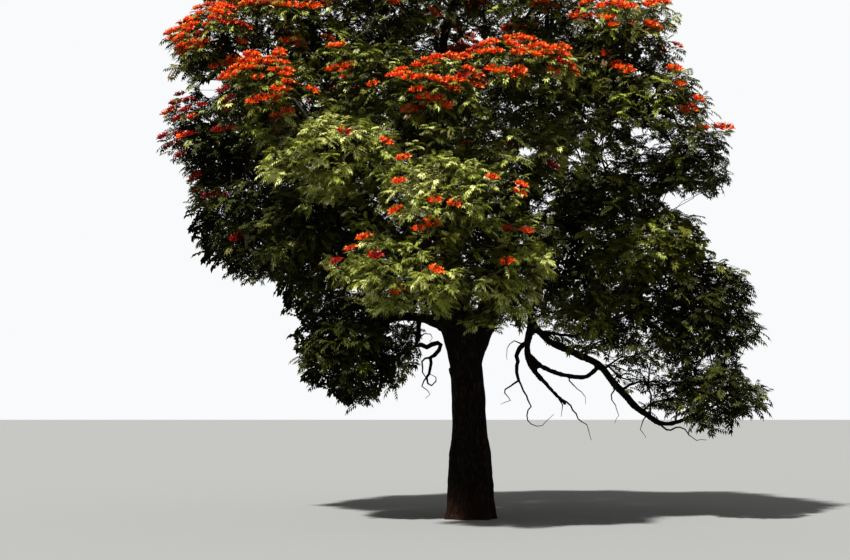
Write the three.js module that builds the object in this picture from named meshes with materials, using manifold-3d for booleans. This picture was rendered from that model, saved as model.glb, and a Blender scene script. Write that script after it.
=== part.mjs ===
// A flame tree: a stout trunk that forks nearly five metres up, boughs that fan out of the fork, and a wide
// domed crown in separate masses of leaf. Low on the +X side bare limbs arch and droop out of the crown.
// Millimetres, +Z up. The origin is in the middle of the trunk's flat foot, at ground level.
// -Y is the front, where the pale masses hang over the fork.

import * as THREE from "three";
import { mergeVertices } from "three/addons/utils/BufferGeometryUtils.js";
import Module from "manifold-3d";

const wasm = await Module();
wasm.setup();

// Driving dimensions

const SEAT_GAP = 0.3; // left between two solids that touch
const FORK_HEIGHT = 4900;

const TRUNK_SIDES = 24;
// The trunk's radius at each height: it swells over its roots, narrows to a waist and opens into the fork.
const TRUNK_RADII = [
  { height: 0, radius: 625 },
  { height: 200, radius: 575 },
  { height: 1000, radius: 550 },
  { height: 1500, radius: 515 },
  { height: 2000, radius: 455 },
  { height: 2700, radius: 415 },
  { height: 3500, radius: 400 },
  { height: 4100, radius: 430 },
  { height: 4600, radius: 520 },
  { height: FORK_HEIGHT, radius: 560 },
  { height: FORK_HEIGHT + 250, radius: 430 },
];
const TRUNK_LEAN = { from: 2500, x: -170 }; // upright to this height, then this far over at the fork
const FLUTES = { count: 7, depth: 0.11 }; // ridges over the roots, as a share of the radius
const BUTTRESSES = { count: 3, depth: 0.055, turn: 1 }; // broader swellings under some of the ridges
const FLARE_TOP = 2600; // ridges and swellings fade out up to this height

const BOUGH_SIDES = 7;
const BOUGH_STEP = 1200; // length of limb between two rings

const MASS_DETAIL = 3;
const LOBES = 9; // rounded swellings on each mass
const LOBE_REACH = 0.24; // from the hollows between the lobes to their crests, as a share of the half size
const LOBE_WIDTH = 0.75; // in radians, from a crest to where its swelling ends
const UNDERSIDE = 0.86; // a mass is flatter below its middle than above it

const BARK = new THREE.MeshStandardMaterial({ color: 0x2e241c, roughness: 0.95, metalness: 0 });
const DARK_LEAF = new THREE.MeshStandardMaterial({ color: 0x23300f, roughness: 0.7, metalness: 0 });
const PALE_LEAF = new THREE.MeshStandardMaterial({ color: 0x6f8030, roughness: 0.65, metalness: 0 });
const BLOOM_LEAF = new THREE.MeshStandardMaterial({ color: 0x7a3014, roughness: 0.65, metalness: 0 });

// Boughs, thickest first. Each starts inside what carries it, passes through its points and tapers evenly.
// Where a limb bends round a gap it is two or three boughs, end to end.

const BOUGHS = {
  bough_centre: {
    path: [[-100, 100, 4500], [-500, 400, 7000], [-900, 400, 9600], [-400, 600, 13500]],
    radii: [340, 130],
  },
  bough_left: {
    path: [[-300, 0, 4400], [-1500, 100, 6400], [-3100, 300, 8300], [-5500, 400, 11200]],
    radii: [310, 110],
  },
  bough_right: {
    path: [[200, 0, 4400], [1000, 200, 6700], [1700, 300, 8800], [3300, 100, 11400]],
    radii: [310, 110],
  },
  bough_back: { path: [[-100, 250, 4500], [-400, 1800, 6600], [-800, 4600, 9600]], radii: [250, 110] },
  bough_back_left: {
    path: [[-200, 150, 4500], [-1800, 1500, 6700], [-3900, 2900, 8100]],
    radii: [230, 100],
  },
  bough_back_right: { path: [[150, 150, 4500], [1500, 1500, 6500], [3600, 3000, 8200]], radii: [230, 100] },
  bough_front: { path: [[-50, -200, 4500], [-300, -1500, 5700], [-800, -3400, 6800]], radii: [210, 90] },
  bough_front_left: {
    path: [[-250, -150, 4500], [-1200, -1300, 6500], [-2800, -3000, 8300]],
    radii: [200, 80],
  },
  bough_arch_rise: { path: [[150, 100, 4600], [800, 350, 6300], [1250, 350, 7500]], radii: [170, 130] },
  bough_arch_fall: {
    path: [[1200, 350, 7450], [2100, 330, 7420], [3000, 250, 7080], [4300, 0, 6300]],
    radii: [130, 70],
  },
  bough_arch_arm: { path: [[1800, 340, 7400], [2400, 400, 7650], [3200, 500, 8200]], radii: [90, 55] },
  bough_low_rise: { path: [[200, 50, 4550], [800, 250, 5420], [1250, 300, 5430]], radii: [190, 150] },
  bough_low_fall: {
    path: [[1200, 300, 5450], [1600, 300, 4880], [2850, 300, 4080], [3870, 200, 3110]],
    radii: [150, 125],
  },
  bough_low_reach: {
    path: [[3800, 200, 3170], [4350, 130, 2600], [4900, 50, 2340], [6100, -150, 2800]],
    radii: [125, 50],
  },
  bough_droop: {
    path: [[1590, 300, 4950], [1500, 300, 4100], [1760, 330, 3500], [2500, 380, 2760]],
    radii: [100, 30],
  },
  bough_droop_link: {
    path: [[1510, 310, 4050], [1900, 250, 3740], [2850, 180, 3480], [3250, 230, 3750]],
    radii: [80, 60],
  },
  bough_left_low: { path: [[-200, 0, 4350], [-1100, -150, 4950], [-2600, -700, 4800]], radii: [170, 90] },
  bough_left_fork: { path: [[-3000, 300, 8200], [-4100, 500, 8700], [-5900, 800, 9300]], radii: [150, 70] },
  bough_middle_left: {
    path: [[-1400, 80, 6300], [-2100, -400, 6700], [-3400, -1200, 7000]],
    radii: [130, 70],
  },
  bough_centre_left: {
    path: [[-750, 400, 8300], [-1500, 0, 10400], [-2300, -400, 12800]],
    radii: [190, 80],
  },
  bough_centre_right: { path: [[-880, 400, 9200], [300, 350, 11000], [1900, 450, 13300]], radii: [190, 80] },
  bough_right_out: { path: [[1850, 280, 9150], [2900, -350, 9700], [4200, -900, 10200]], radii: [150, 70] },
  bough_shelf: { path: [[-500, 400, 7100], [-550, -900, 8600], [-800, -3000, 9700]], radii: [160, 70] },
};

// Masses of leaf: where the middle of each is, and half its width, depth and height.

const MASSES = {
  mass_shoulder_left_outer: { at: [-6150, 400, 11700], half: [1600, 2100, 1380], leaf: BLOOM_LEAF },
  mass_shoulder_left_inner: { at: [-4250, 200, 12400], half: [1850, 2400, 1650], leaf: BLOOM_LEAF },
  mass_flank_left_upper: { at: [-6250, 700, 9600], half: [1600, 2000, 1450], leaf: BLOOM_LEAF },
  mass_flank_left_lower: { at: [-5500, 1200, 7500], half: [1700, 2200, 1650], leaf: DARK_LEAF },
  mass_shelf_left: { at: [-4500, -2200, 10000], half: [1650, 1600, 1200], leaf: BLOOM_LEAF },
  mass_front_left: { at: [-3100, -3200, 8450], half: [1850, 1750, 1250], leaf: PALE_LEAF },
  mass_middle_left: { at: [-3700, -1300, 6750], half: [1750, 2000, 1450], leaf: DARK_LEAF },
  mass_low_left: { at: [-2950, -800, 4250], half: [1300, 1900, 1650], leaf: DARK_LEAF },
  mass_front_centre_upper: { at: [-600, -4300, 7350], half: [1950, 1750, 1150], leaf: PALE_LEAF },
  mass_front_centre_lower: { at: [-1200, -4100, 5800], half: [2000, 1750, 1050], leaf: PALE_LEAF },
  mass_front_right: { at: [700, -3500, 6050], half: [1200, 1600, 1350], leaf: PALE_LEAF },
  mass_top_left: { at: [-2300, -400, 13200], half: [1900, 2400, 1550], leaf: DARK_LEAF },
  mass_top_centre: { at: [-200, 600, 13750], half: [1850, 2500, 1350], leaf: BLOOM_LEAF },
  mass_top_right: { at: [2000, 500, 13450], half: [2000, 2500, 1450], leaf: DARK_LEAF },
  mass_middle_upper: { at: [-2300, -1900, 10500], half: [1700, 1800, 1200], leaf: DARK_LEAF },
  mass_shelf_centre: { at: [-800, -3400, 9800], half: [1550, 1600, 950], leaf: BLOOM_LEAF },
  mass_shelf_right: { at: [1150, -3000, 10300], half: [1650, 1800, 1000], leaf: BLOOM_LEAF },
  mass_under_shelf: { at: [1250, -2200, 8900], half: [1900, 1900, 1050], leaf: DARK_LEAF },
  mass_shoulder_right_inner: { at: [3800, 0, 11900], half: [1680, 2300, 1550], leaf: BLOOM_LEAF },
  mass_shoulder_right_outer: { at: [4450, -900, 10250], half: [1550, 1900, 1250], leaf: DARK_LEAF },
  mass_flank_right: { at: [5350, 200, 9000], half: [1450, 2000, 1250], leaf: DARK_LEAF },
  mass_middle_right: { at: [3300, 600, 8250], half: [1500, 1700, 1000], leaf: DARK_LEAF },
  mass_low_right_upper: { at: [4400, -200, 6700], half: [1700, 1800, 980], leaf: DARK_LEAF },
  mass_low_right_inner: { at: [3600, 900, 5400], half: [1450, 1600, 850], leaf: DARK_LEAF },
  mass_low_right_outer: { at: [6100, 300, 5100], half: [1450, 2000, 1300], leaf: DARK_LEAF },
  mass_low_right_foot: { at: [6050, -200, 3150], half: [1250, 1700, 980], leaf: DARK_LEAF },
  mass_back_left_high: { at: [-3900, 3200, 11200], half: [2150, 2100, 1700], leaf: BLOOM_LEAF },
  mass_back_left_middle: { at: [-4700, 3400, 8500], half: [1900, 1950, 1550], leaf: DARK_LEAF },
  mass_back_left_low: { at: [-3400, 3500, 6100], half: [1750, 1850, 1300], leaf: DARK_LEAF },
  mass_back_top: { at: [-600, 3300, 12600], half: [2150, 2050, 1550], leaf: BLOOM_LEAF },
  mass_back_centre: { at: [-900, 5000, 10100], half: [2250, 1700, 1650], leaf: DARK_LEAF },
  mass_back_foot: { at: [-500, 4700, 7300], half: [2150, 1750, 1400], leaf: DARK_LEAF },
  mass_back_right_high: { at: [2800, 3300, 11300], half: [2150, 2100, 1650], leaf: BLOOM_LEAF },
  mass_back_right_middle: { at: [4200, 3500, 8700], half: [1950, 2000, 1500], leaf: DARK_LEAF },
  mass_back_right_low: { at: [3200, 3800, 6500], half: [1850, 1850, 1350], leaf: DARK_LEAF },
};

// Solids for the cuts, and back to geometry for the meshes

function solidOf(geometry) {
  const bare = geometry.clone();
  bare.deleteAttribute("normal");
  bare.deleteAttribute("uv");
  const merged = mergeVertices(bare, 1e-3);
  return new wasm.Manifold(
    new wasm.Mesh({
      numProp: 3,
      vertProperties: new Float32Array(merged.attributes.position.array),
      triVerts: new Uint32Array(merged.index.array),
    }),
  );
}

function geometryOf(solid) {
  const mesh = solid.getMesh();
  const geometry = new THREE.BufferGeometry();
  geometry.setAttribute("position", new THREE.BufferAttribute(mesh.vertProperties, 3));
  geometry.setIndex(new THREE.BufferAttribute(mesh.triVerts, 1));
  geometry.computeVertexNormals();
  return geometry;
}

function largestPiece(solid) {
  return solid.decompose().reduce((best, piece) => (piece.volume() > best.volume() ? piece : best));
}

// Moves every vertex of a geometry to the place that a function gives for it.
function reshape(geometry, place) {
  const position = geometry.attributes.position;
  const point = new THREE.Vector3();
  for (let i = 0; i < position.count; i++) {
    place(point.fromBufferAttribute(position, i));
    position.setXYZ(i, point.x, point.y, point.z);
  }
  return geometry;
}

// Trunk

function trunkLean(height) {
  return TRUNK_LEAN.x * THREE.MathUtils.smoothstep(height, TRUNK_LEAN.from, FORK_HEIGHT);
}

// How far out the ridged trunk stands at a height and a bearing, as a share of its radius there.
function flareAt(height, bearing) {
  const ridges = FLUTES.depth * Math.cos(FLUTES.count * bearing);
  const swellings = BUTTRESSES.depth * Math.cos(BUTTRESSES.count * bearing + BUTTRESSES.turn);
  return 1 + (ridges + swellings) * Math.max(0, 1 - height / FLARE_TOP);
}

function trunkSolid(grow) {
  const rings = TRUNK_RADII.length - 1;
  const tube = new THREE.CylinderGeometry(1, 1, rings, TRUNK_SIDES, rings);
  tube.rotateX(Math.PI / 2);
  reshape(tube, (point) => {
    const { height, radius } = TRUNK_RADII[Math.round(point.z + rings / 2)];
    const bearing = Math.atan2(point.y, point.x);
    const out = Math.hypot(point.x, point.y) * (radius * flareAt(height, bearing) + grow);
    point.set(out * Math.cos(bearing) + trunkLean(height), out * Math.sin(bearing), height);
  });
  return solidOf(tube);
}

// Boughs

function boughSolid({ path, radii }, grow) {
  const curve = new THREE.CatmullRomCurve3(path.map((point) => new THREE.Vector3(...point)));
  const rings = Math.max(3, Math.round(curve.getLength() / BOUGH_STEP));
  const frames = curve.computeFrenetFrames(rings, false);
  const tube = new THREE.CylinderGeometry(1, 1, rings, BOUGH_SIDES, rings);
  reshape(tube, (point) => {
    const ring = Math.round(point.y + rings / 2);
    const radius = THREE.MathUtils.lerp(radii[0], radii[1], ring / rings) + grow;
    const [x, y] = [point.x * radius, point.z * radius];
    curve.getPointAt(ring / rings, point);
    point.addScaledVector(frames.normals[ring], -x).addScaledVector(frames.binormals[ring], y);
    if (ring === 0) point.addScaledVector(frames.tangents[ring], -grow);
    if (ring === rings) point.addScaledVector(frames.tangents[ring], grow);
  });
  return solidOf(tube);
}

// Masses of leaf

// Directions of a mass's lobes: an even spiral over the sphere, turned by its own amount on each mass.
function lobeDirections(turn) {
  const golden = Math.PI * (3 - Math.sqrt(5));
  return Array.from({ length: LOBES }, (_, i) => {
    const up = 1 - (2 * i + 1) / LOBES;
    return new THREE.Vector3().setFromCylindricalCoords(Math.sqrt(1 - up * up), golden * i + turn, up);
  });
}

// How far the surface lies out in a direction, as a share of the plain ellipsoid.
function swelling(direction, lobes) {
  const nearest = Math.min(...lobes.map((lobe) => lobe.angleTo(direction)));
  return 1 + LOBE_REACH * (0.5 - THREE.MathUtils.smoothstep(nearest, 0, LOBE_WIDTH));
}

// How far an ellipsoid of these half sizes reaches along a direction.
function reachAlong(half, direction) {
  return Math.hypot(half[0] * direction.x, half[1] * direction.y, half[2] * direction.z);
}

// Cuts a mass off where its neighbour begins, on a plane between their middles.
function trimAgainst(solid, mass, other, grow) {
  const middle = new THREE.Vector3(...mass.at);
  const towards = new THREE.Vector3(...other.at).sub(middle);
  const distance = towards.length();
  towards.normalize();
  const [own, theirs] = [reachAlong(mass.half, towards), reachAlong(other.half, towards)];
  if (distance > own + theirs) return solid;
  const cut = (distance * own) / (own + theirs) - SEAT_GAP / 2 + grow;
  const onPlane = middle.clone().addScaledVector(towards, cut);
  const inwards = towards.negate();
  return solid.trimByPlane(inwards.toArray(), inwards.dot(onPlane));
}

function massSolid(name, grow) {
  const mass = MASSES[name];
  const lobes = lobeDirections(Object.keys(MASSES).indexOf(name));
  const ball = new THREE.OctahedronGeometry(1, MASS_DETAIL);
  reshape(ball, (point) => {
    const swell = swelling(point, lobes);
    point.multiply(new THREE.Vector3(...mass.half)).multiplyScalar(swell);
    if (point.z < 0) point.z *= UNDERSIDE;
    point.setLength(point.length() + grow).add(new THREE.Vector3(...mass.at));
  });
  let solid = solidOf(ball);
  for (const [otherName, other] of Object.entries(MASSES)) {
    if (otherName !== name) solid = trimAgainst(solid, mass, other, grow);
  }
  return solid;
}

// Assembly: each solid gives way to those before it, and a bough ends where it enters a mass.

function asMesh(name, solid, material) {
  const mesh = new THREE.Mesh(geometryOf(solid), material);
  mesh.name = name;
  return mesh;
}

const tree = new THREE.Group();
tree.add(asMesh("trunk", trunkSolid(0), BARK));

const massNames = Object.keys(MASSES);
for (const name of massNames) {
  tree.add(asMesh(name, massSolid(name, 0), MASSES[name].leaf));
}

const inTheWay = [trunkSolid(SEAT_GAP), ...massNames.map((name) => massSolid(name, SEAT_GAP))];
for (const [name, bough] of Object.entries(BOUGHS)) {
  const cut = inTheWay.reduce((left, solid) => left.subtract(solid), boughSolid(bough, 0));
  tree.add(asMesh(name, largestPiece(cut), BARK));
  inTheWay.push(boughSolid(bough, SEAT_GAP));
}

export default tree;
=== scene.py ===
"""Looks of a flame tree: bark over the trunk and limbs, twigs grown to the sprays, leaves and blossom.

Everything is in metres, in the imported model's own frame, and rides on its one body.
"""

import math

import bmesh
import bpy
import numpy as np
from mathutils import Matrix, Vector, noise
from mathutils.bvhtree import BVHTree
from mathutils.kdtree import KDTree


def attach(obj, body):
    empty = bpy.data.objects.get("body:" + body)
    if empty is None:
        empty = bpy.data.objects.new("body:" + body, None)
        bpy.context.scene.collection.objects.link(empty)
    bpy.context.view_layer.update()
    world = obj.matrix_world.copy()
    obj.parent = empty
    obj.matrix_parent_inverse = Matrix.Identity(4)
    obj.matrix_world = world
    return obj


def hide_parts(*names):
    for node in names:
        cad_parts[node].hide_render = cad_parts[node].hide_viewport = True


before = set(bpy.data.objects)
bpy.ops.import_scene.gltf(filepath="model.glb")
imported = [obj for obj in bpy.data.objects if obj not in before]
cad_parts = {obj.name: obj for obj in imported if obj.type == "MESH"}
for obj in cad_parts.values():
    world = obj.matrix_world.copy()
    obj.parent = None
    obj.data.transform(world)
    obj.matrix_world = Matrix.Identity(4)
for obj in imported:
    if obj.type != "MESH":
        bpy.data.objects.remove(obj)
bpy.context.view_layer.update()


rng = np.random.default_rng(27)
noise.seed_set(27)  # else the limbs' kinks, which are noise vectors, would differ from run to run

# The view

CAMERA_PLACE = np.array([-1.1, -34.0, 2.6])
CAMERA_RISE = math.radians(5.55)  # how far the camera looks up from level
SENSOR_MM = 36.0
LENS_MM = 57.7
PHOTO_WIDTH, PHOTO_HEIGHT = 850, 560
FOCAL_PIXELS = PHOTO_WIDTH * LENS_MM / SENSOR_MM


def place_camera():
    data = bpy.data.cameras.new("camera")
    data.sensor_width = SENSOR_MM
    data.sensor_fit = "HORIZONTAL"
    data.lens = LENS_MM
    data.clip_end = 1000
    camera = bpy.data.objects.new("camera", data)
    camera.location = CAMERA_PLACE
    camera.rotation_euler = (math.pi / 2 + CAMERA_RISE, 0, 0)
    bpy.context.scene.collection.objects.link(camera)
    bpy.context.scene.camera = camera


def sight_line(u, v):
    """The direction from the camera through a point of the photograph."""
    right = (u - PHOTO_WIDTH / 2) / FOCAL_PIXELS
    up = (PHOTO_HEIGHT / 2 - v) / FOCAL_PIXELS
    rise, run = math.sin(CAMERA_RISE), math.cos(CAMERA_RISE)
    return unit([right, run - up * rise, rise + up * run])


def seen_at(points):
    """Where each point falls in the photograph, as columns u and v."""
    rise, run = math.sin(CAMERA_RISE), math.cos(CAMERA_RISE)
    off = np.asarray(points) - CAMERA_PLACE
    depth = off[:, 1] * run + off[:, 2] * rise
    up = off[:, 2] * run - off[:, 1] * rise
    return np.stack([PHOTO_WIDTH / 2 + FOCAL_PIXELS * off[:, 0] / depth,
                     PHOTO_HEIGHT / 2 - FOCAL_PIXELS * up / depth], 1)


# Vectors, by rows

UP = np.array([0.0, 0.0, 1.0])


def unit(rows):
    rows = np.asarray(rows, float)
    return rows / np.maximum(np.linalg.norm(rows, axis=-1, keepdims=True), 1e-9)


def without(rows, way):
    """What is left of each row once its part along the unit vector way is taken away."""
    return rows - (rows * way).sum(-1, keepdims=True) * way


def turned(rows, axes, angles):
    """Each row turned about its own unit axis, at right angles to it."""
    angles = np.asarray(angles)[..., None]
    return rows * np.cos(angles) + np.cross(axes, rows) * np.sin(angles)


# Meshes from arrays

def mesh_object(name, points, faces, materials=(), finishes=None):
    """A triangle mesh as one object. finishes gives each face's place in materials."""
    faces = np.asarray(faces, np.int32)
    mesh = bpy.data.meshes.new(name)
    mesh.vertices.add(len(points))
    mesh.vertices.foreach_set("co", np.asarray(points, np.float32).ravel())
    mesh.loops.add(faces.size)
    mesh.loops.foreach_set("vertex_index", faces.ravel())
    mesh.polygons.add(len(faces))
    mesh.polygons.foreach_set("loop_start", np.arange(0, faces.size, 3, dtype=np.int32))
    for material in materials:
        mesh.materials.append(material)
    if finishes is not None:
        mesh.polygons.foreach_set("material_index", np.asarray(finishes, np.int32))
    mesh.update(calc_edges=True)
    mesh.shade_flat()
    piece = bpy.data.objects.new(name, mesh)
    bpy.context.scene.collection.objects.link(piece)
    return piece


def hand_over(piece, nodes=()):
    """The piece rides on the tree and stands for these solids."""
    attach(piece, "root")
    if nodes:
        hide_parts(*nodes)


def points_of(mesh):
    places = np.zeros(len(mesh.vertices) * 3)
    mesh.vertices.foreach_get("co", places)
    return places.reshape(-1, 3)


def triangles_of(mesh):
    mesh.calc_loop_triangles()
    triangles = np.zeros(len(mesh.loop_triangles) * 3, np.int32)
    mesh.loop_triangles.foreach_get("vertices", triangles)
    return triangles.reshape(-1, 3)


def mark_grain(mesh, places):
    """Keeps each point's place along and across its own limb, which the bark's pattern follows."""
    grain = mesh.attributes.new("grain", "FLOAT_VECTOR", "POINT")
    grain.data.foreach_set("vector", np.asarray(places, np.float32).ravel())


# Limbs: the boughs' own lines, in the model's order, with the radius at the root and at the tip, which is
# slenderer than the model's where the photograph shows it

LIMBS = {
    "bough_centre": ([(-0.1, 0.1, 4.5), (-0.5, 0.4, 7), (-0.9, 0.4, 9.6), (-0.4, 0.6, 13.5)], 0.34, 0.06),
    "bough_left": ([(-0.3, 0, 4.4), (-1.5, 0.1, 6.4), (-3.1, 0.3, 8.3), (-5.5, 0.4, 11.2)], 0.31, 0.07),
    "bough_right": ([(0.2, 0, 4.4), (1, 0.2, 6.7), (1.7, 0.3, 8.8), (3.3, 0.1, 11.4)], 0.31, 0.07),
    "bough_back": ([(-0.1, 0.25, 4.5), (-0.4, 1.8, 6.6), (-0.8, 4.6, 9.6)], 0.25, 0.11),
    "bough_back_left": ([(-0.2, 0.15, 4.5), (-1.8, 1.5, 6.7), (-3.9, 2.9, 8.1)], 0.23, 0.1),
    "bough_back_right": ([(0.15, 0.15, 4.5), (1.5, 1.5, 6.5), (3.6, 3, 8.2)], 0.23, 0.1),
    "bough_front": ([(-0.05, -0.2, 4.5), (-0.3, -1.5, 5.7), (-0.8, -3.4, 6.8)], 0.21, 0.09),
    "bough_front_left": ([(-0.25, -0.15, 4.5), (-1.2, -1.3, 6.5), (-2.8, -3, 8.3)], 0.2, 0.08),
    "bough_arch_rise": ([(0.15, 0.1, 4.6), (0.8, 0.35, 6.3), (1.25, 0.35, 7.5)], 0.17, 0.13),
    "bough_arch_fall": ([(1.2, 0.35, 7.45), (2.1, 0.33, 7.42), (3, 0.25, 7.08), (4.3, 0, 6.3)], 0.13, 0.07),
    "bough_arch_arm": ([(1.8, 0.34, 7.4), (2.4, 0.4, 7.65), (3.2, 0.5, 8.2)], 0.09, 0.055),
    "bough_low_rise": ([(0.2, 0.05, 4.55), (0.8, 0.25, 5.42), (1.25, 0.3, 5.43)], 0.17, 0.11),
    "bough_low_fall": (
        [(1.2, 0.3, 5.45), (1.48, 0.3, 5.3), (1.55, 0.3, 5.05), (1.72, 0.3, 4.74), (2.07, 0.3, 4.34),
         (2.55, 0.3, 4.11), (3.2, 0.3, 3.81), (3.45, 0.28, 3.58), (3.87, 0.2, 3.11)], 0.085, 0.105),
    "bough_low_reach": (
        [(3.8, 0.2, 3.17), (4.35, 0.13, 2.6), (4.9, 0.05, 2.34), (6.1, -0.15, 2.8)], 0.105, 0.04),
    "bough_droop": ([(1.59, 0.3, 4.95), (1.5, 0.3, 4.1), (1.76, 0.33, 3.5), (2.5, 0.38, 2.76)], 0.11, 0.045),
    "bough_droop_link": (
        [(1.51, 0.31, 4.05), (1.9, 0.25, 3.74), (2.85, 0.18, 3.48), (3.25, 0.23, 3.75)], 0.075, 0.065),
    "bough_left_low": ([(-0.2, 0, 4.35), (-1.1, -0.15, 4.95), (-2.6, -0.7, 4.8)], 0.17, 0.09),
    "bough_left_fork": ([(-3, 0.3, 8.2), (-4.1, 0.5, 8.7), (-5.9, 0.8, 9.3)], 0.15, 0.07),
    "bough_middle_left": ([(-1.4, 0.08, 6.3), (-2.1, -0.4, 6.7), (-3.4, -1.2, 7)], 0.13, 0.07),
    "bough_centre_left": ([(-0.75, 0.4, 8.3), (-1.5, 0, 10.4), (-2.3, -0.4, 12.8)], 0.17, 0.05),
    "bough_centre_right": ([(-0.88, 0.4, 9.2), (0.3, 0.35, 11), (1.9, 0.45, 13.3)], 0.17, 0.05),
    "bough_right_out": ([(1.85, 0.28, 9.15), (2.9, -0.35, 9.7), (4.2, -0.9, 10.2)], 0.15, 0.05),
    "bough_shelf": ([(-0.5, 0.4, 7.1), (-0.55, -0.9, 8.6), (-0.8, -3, 9.7)], 0.16, 0.07),
}
LIMB_STEP = 0.09
LIMB_SIDES = 16
CURVE_POINTS = 30  # on each stretch of a smooth curve, before it is cut into even steps
UPRIGHT = 0.9  # the rise of a unit vector from which on it counts as upright
TRUNK_TOP, TRUNK_REACH = 4.7, 0.5  # a limb that starts this low and this near the axis starts in the trunk
ROOT_DEPTH = 0.8  # such a limb is led back to the trunk's middle, this much lower
ROOT_SHARE, ROOT_SHIFT = 0.3, -0.1  # there its offset is this share of the start's, shifted in x
KINK, KINK_LENGTH = 0.25, 0.8  # how far a limb strays, times the root of its radius, and over what length
KINK_FADE = 0.5  # the length from its root over which the kinks grow to this
STRAND_GAP = 7.3  # between the lines in the noise that two limbs' kinks are read from
BARE_LIMBS = ("bough_low_rise", "bough_low_fall", "bough_droop", "bough_droop_link", "bough_arch_rise")

TRUNK_RINGS = ((0, 0.625), (0.2, 0.575), (1, 0.55), (1.5, 0.515), (2, 0.455), (2.7, 0.415), (3.5, 0.4),
               (4.1, 0.43), (4.6, 0.52), (4.9, 0.56), (5.15, 0.43))  # height, radius
LEAN_FROM, LEAN_TO, LEAN = 2.5, 4.9, -0.17  # between these heights the trunk moves this far in x
FLARE_TOP = 2.6
FLUTES, FLUTE_DEPTH = 7, 0.11
BUTTRESSES, BUTTRESS_DEPTH, BUTTRESS_TURN = 3, 0.055, 1.0
TRUNK_STEP, TRUNK_SIDES = 0.05, 96
BELOW_CUT = 0.15  # the trunk is made this much too long, then cut flat at the ground


def run_along(line):
    """The length along a line up to each of its points."""
    return np.concatenate([[0], np.cumsum(np.linalg.norm(np.diff(line, axis=0), axis=1))])


def smooth_line(points, step):
    """Points about a step apart along a smooth curve through the given ones."""
    given = np.array(points, float)
    ends = np.vstack([2 * given[0] - given[1], given, 2 * given[-1] - given[-2]])
    share = np.linspace(0, 1, CURVE_POINTS, endpoint=False)[:, None]
    dense = []
    for before, start, end, after in zip(ends, ends[1:], ends[2:], ends[3:]):
        pull = np.linalg.norm(end - start)
        leave = unit(end - before) * pull
        arrive = unit(after - start) * pull
        a, b = 2 * share**3 - 3 * share**2 + 1, share**3 - 2 * share**2 + share
        dense.append(a * start + b * leave + (1 - a) * end + (share**3 - share**2) * arrive)
    dense = np.vstack([*dense, given[-1:]])
    run = run_along(dense)
    places = np.linspace(0, run[-1], max(3, round(run[-1] / step) + 1))
    return np.stack([np.interp(places, run, dense[:, k]) for k in range(3)], 1)


def carried_frames(line):
    """Tangents, and two ways across the line that are carried along it with no twist."""
    tangents = unit(np.gradient(line, axis=0))
    sides = np.zeros_like(line)
    side = UP if abs(tangents[0, 2]) < UPRIGHT else np.array([1.0, 0, 0])
    for i, tangent in enumerate(tangents):
        side = unit(without(side, tangent))
        sides[i] = side
    return tangents, sides, np.cross(tangents, sides)


def circles(side, other, count):
    """Points round a unit circle for each pair of ways across, and the turn to each point."""
    turns = np.linspace(0, 2 * math.pi, count, endpoint=False)
    return np.cos(turns)[None, :, None] * side[:, None] + np.sin(turns)[None, :, None] * other[:, None], turns


def walls_between(low, high, sides):
    """The faces between pairs of rings, which are given by the number of each one's first point."""
    here = np.arange(sides)
    after = (here + 1) % sides
    a, b, c, d = low + here, low + after, high + here, high + after
    return np.concatenate([np.stack([a, b, d], -1).reshape(-1, 3), np.stack([a, d, c], -1).reshape(-1, 3)])


def tube(line, radii, sides):
    """A closed tube along a line. radii holds one radius a ring, or one for each point of it."""
    _, side, other = carried_frames(line)
    ring = circles(side, other, sides)[0]
    points = (line[:, None] + ring * np.asarray(radii).reshape(len(line), -1, 1)).reshape(-1, 3)
    start = np.arange(len(line) - 1)[:, None] * sides
    faces = walls_between(start, start + sides, sides)
    foot, top, last = len(points), len(points) + 1, (len(line) - 1) * sides
    caps = [(foot, (i + 1) % sides, i) for i in range(sides)]
    caps += [(top, last + i, last + (i + 1) % sides) for i in range(sides)]
    return np.vstack([points, line[0], line[-1]]), np.vstack([faces, caps])


def limb_line(name):
    """A limb's kinked centre line and its radius at each point."""
    points, root, tip = LIMBS[name]
    x, y, z = points[0]
    if z < TRUNK_TOP and math.hypot(x, y) < TRUNK_REACH:
        points = [(ROOT_SHARE * x + ROOT_SHIFT, ROOT_SHARE * y, z - ROOT_DEPTH), *points]
    line = smooth_line(points, LIMB_STEP)
    radii = np.linspace(root, tip, len(line))
    strand = STRAND_GAP * list(LIMBS).index(name)
    _, side, other = carried_frames(line)
    run = np.arange(len(line)) * LIMB_STEP
    stray = np.array([noise.noise_vector(Vector((strand, s / KINK_LENGTH, 0))) for s in run])
    stray *= (KINK * np.sqrt(radii) * np.minimum(1, run / KINK_FADE))[:, None]
    return line + side * stray[:, :1] + other * stray[:, 1:2], radii


def trunk_line():
    """The trunk's centre line, its mean radius, and the radius of its wall at each height and bearing."""
    heights = np.arange(-BELOW_CUT, TRUNK_RINGS[-1][0] + TRUNK_STEP / 2, TRUNK_STEP)
    share = np.clip((heights - LEAN_FROM) / (LEAN_TO - LEAN_FROM), 0, 1)
    line = np.stack([LEAN * share**2 * (3 - 2 * share), np.zeros(len(heights)), heights], 1)
    radius = np.interp(heights, *zip(*TRUNK_RINGS))
    turns = np.linspace(0, 2 * math.pi, TRUNK_SIDES, endpoint=False)
    ridges = FLUTE_DEPTH * np.cos(FLUTES * turns)
    ridges += BUTTRESS_DEPTH * np.cos(BUTTRESSES * turns + BUTTRESS_TURN)
    fade = np.clip(1 - heights / FLARE_TOP, 0, 1)
    return line, radius, radius[:, None] * (1 + ridges * fade[:, None])


limb_lines = {name: limb_line(name) for name in LIMBS}

# Bark over the trunk and limbs: their union, with furrows and ribs that run along each limb

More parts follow.
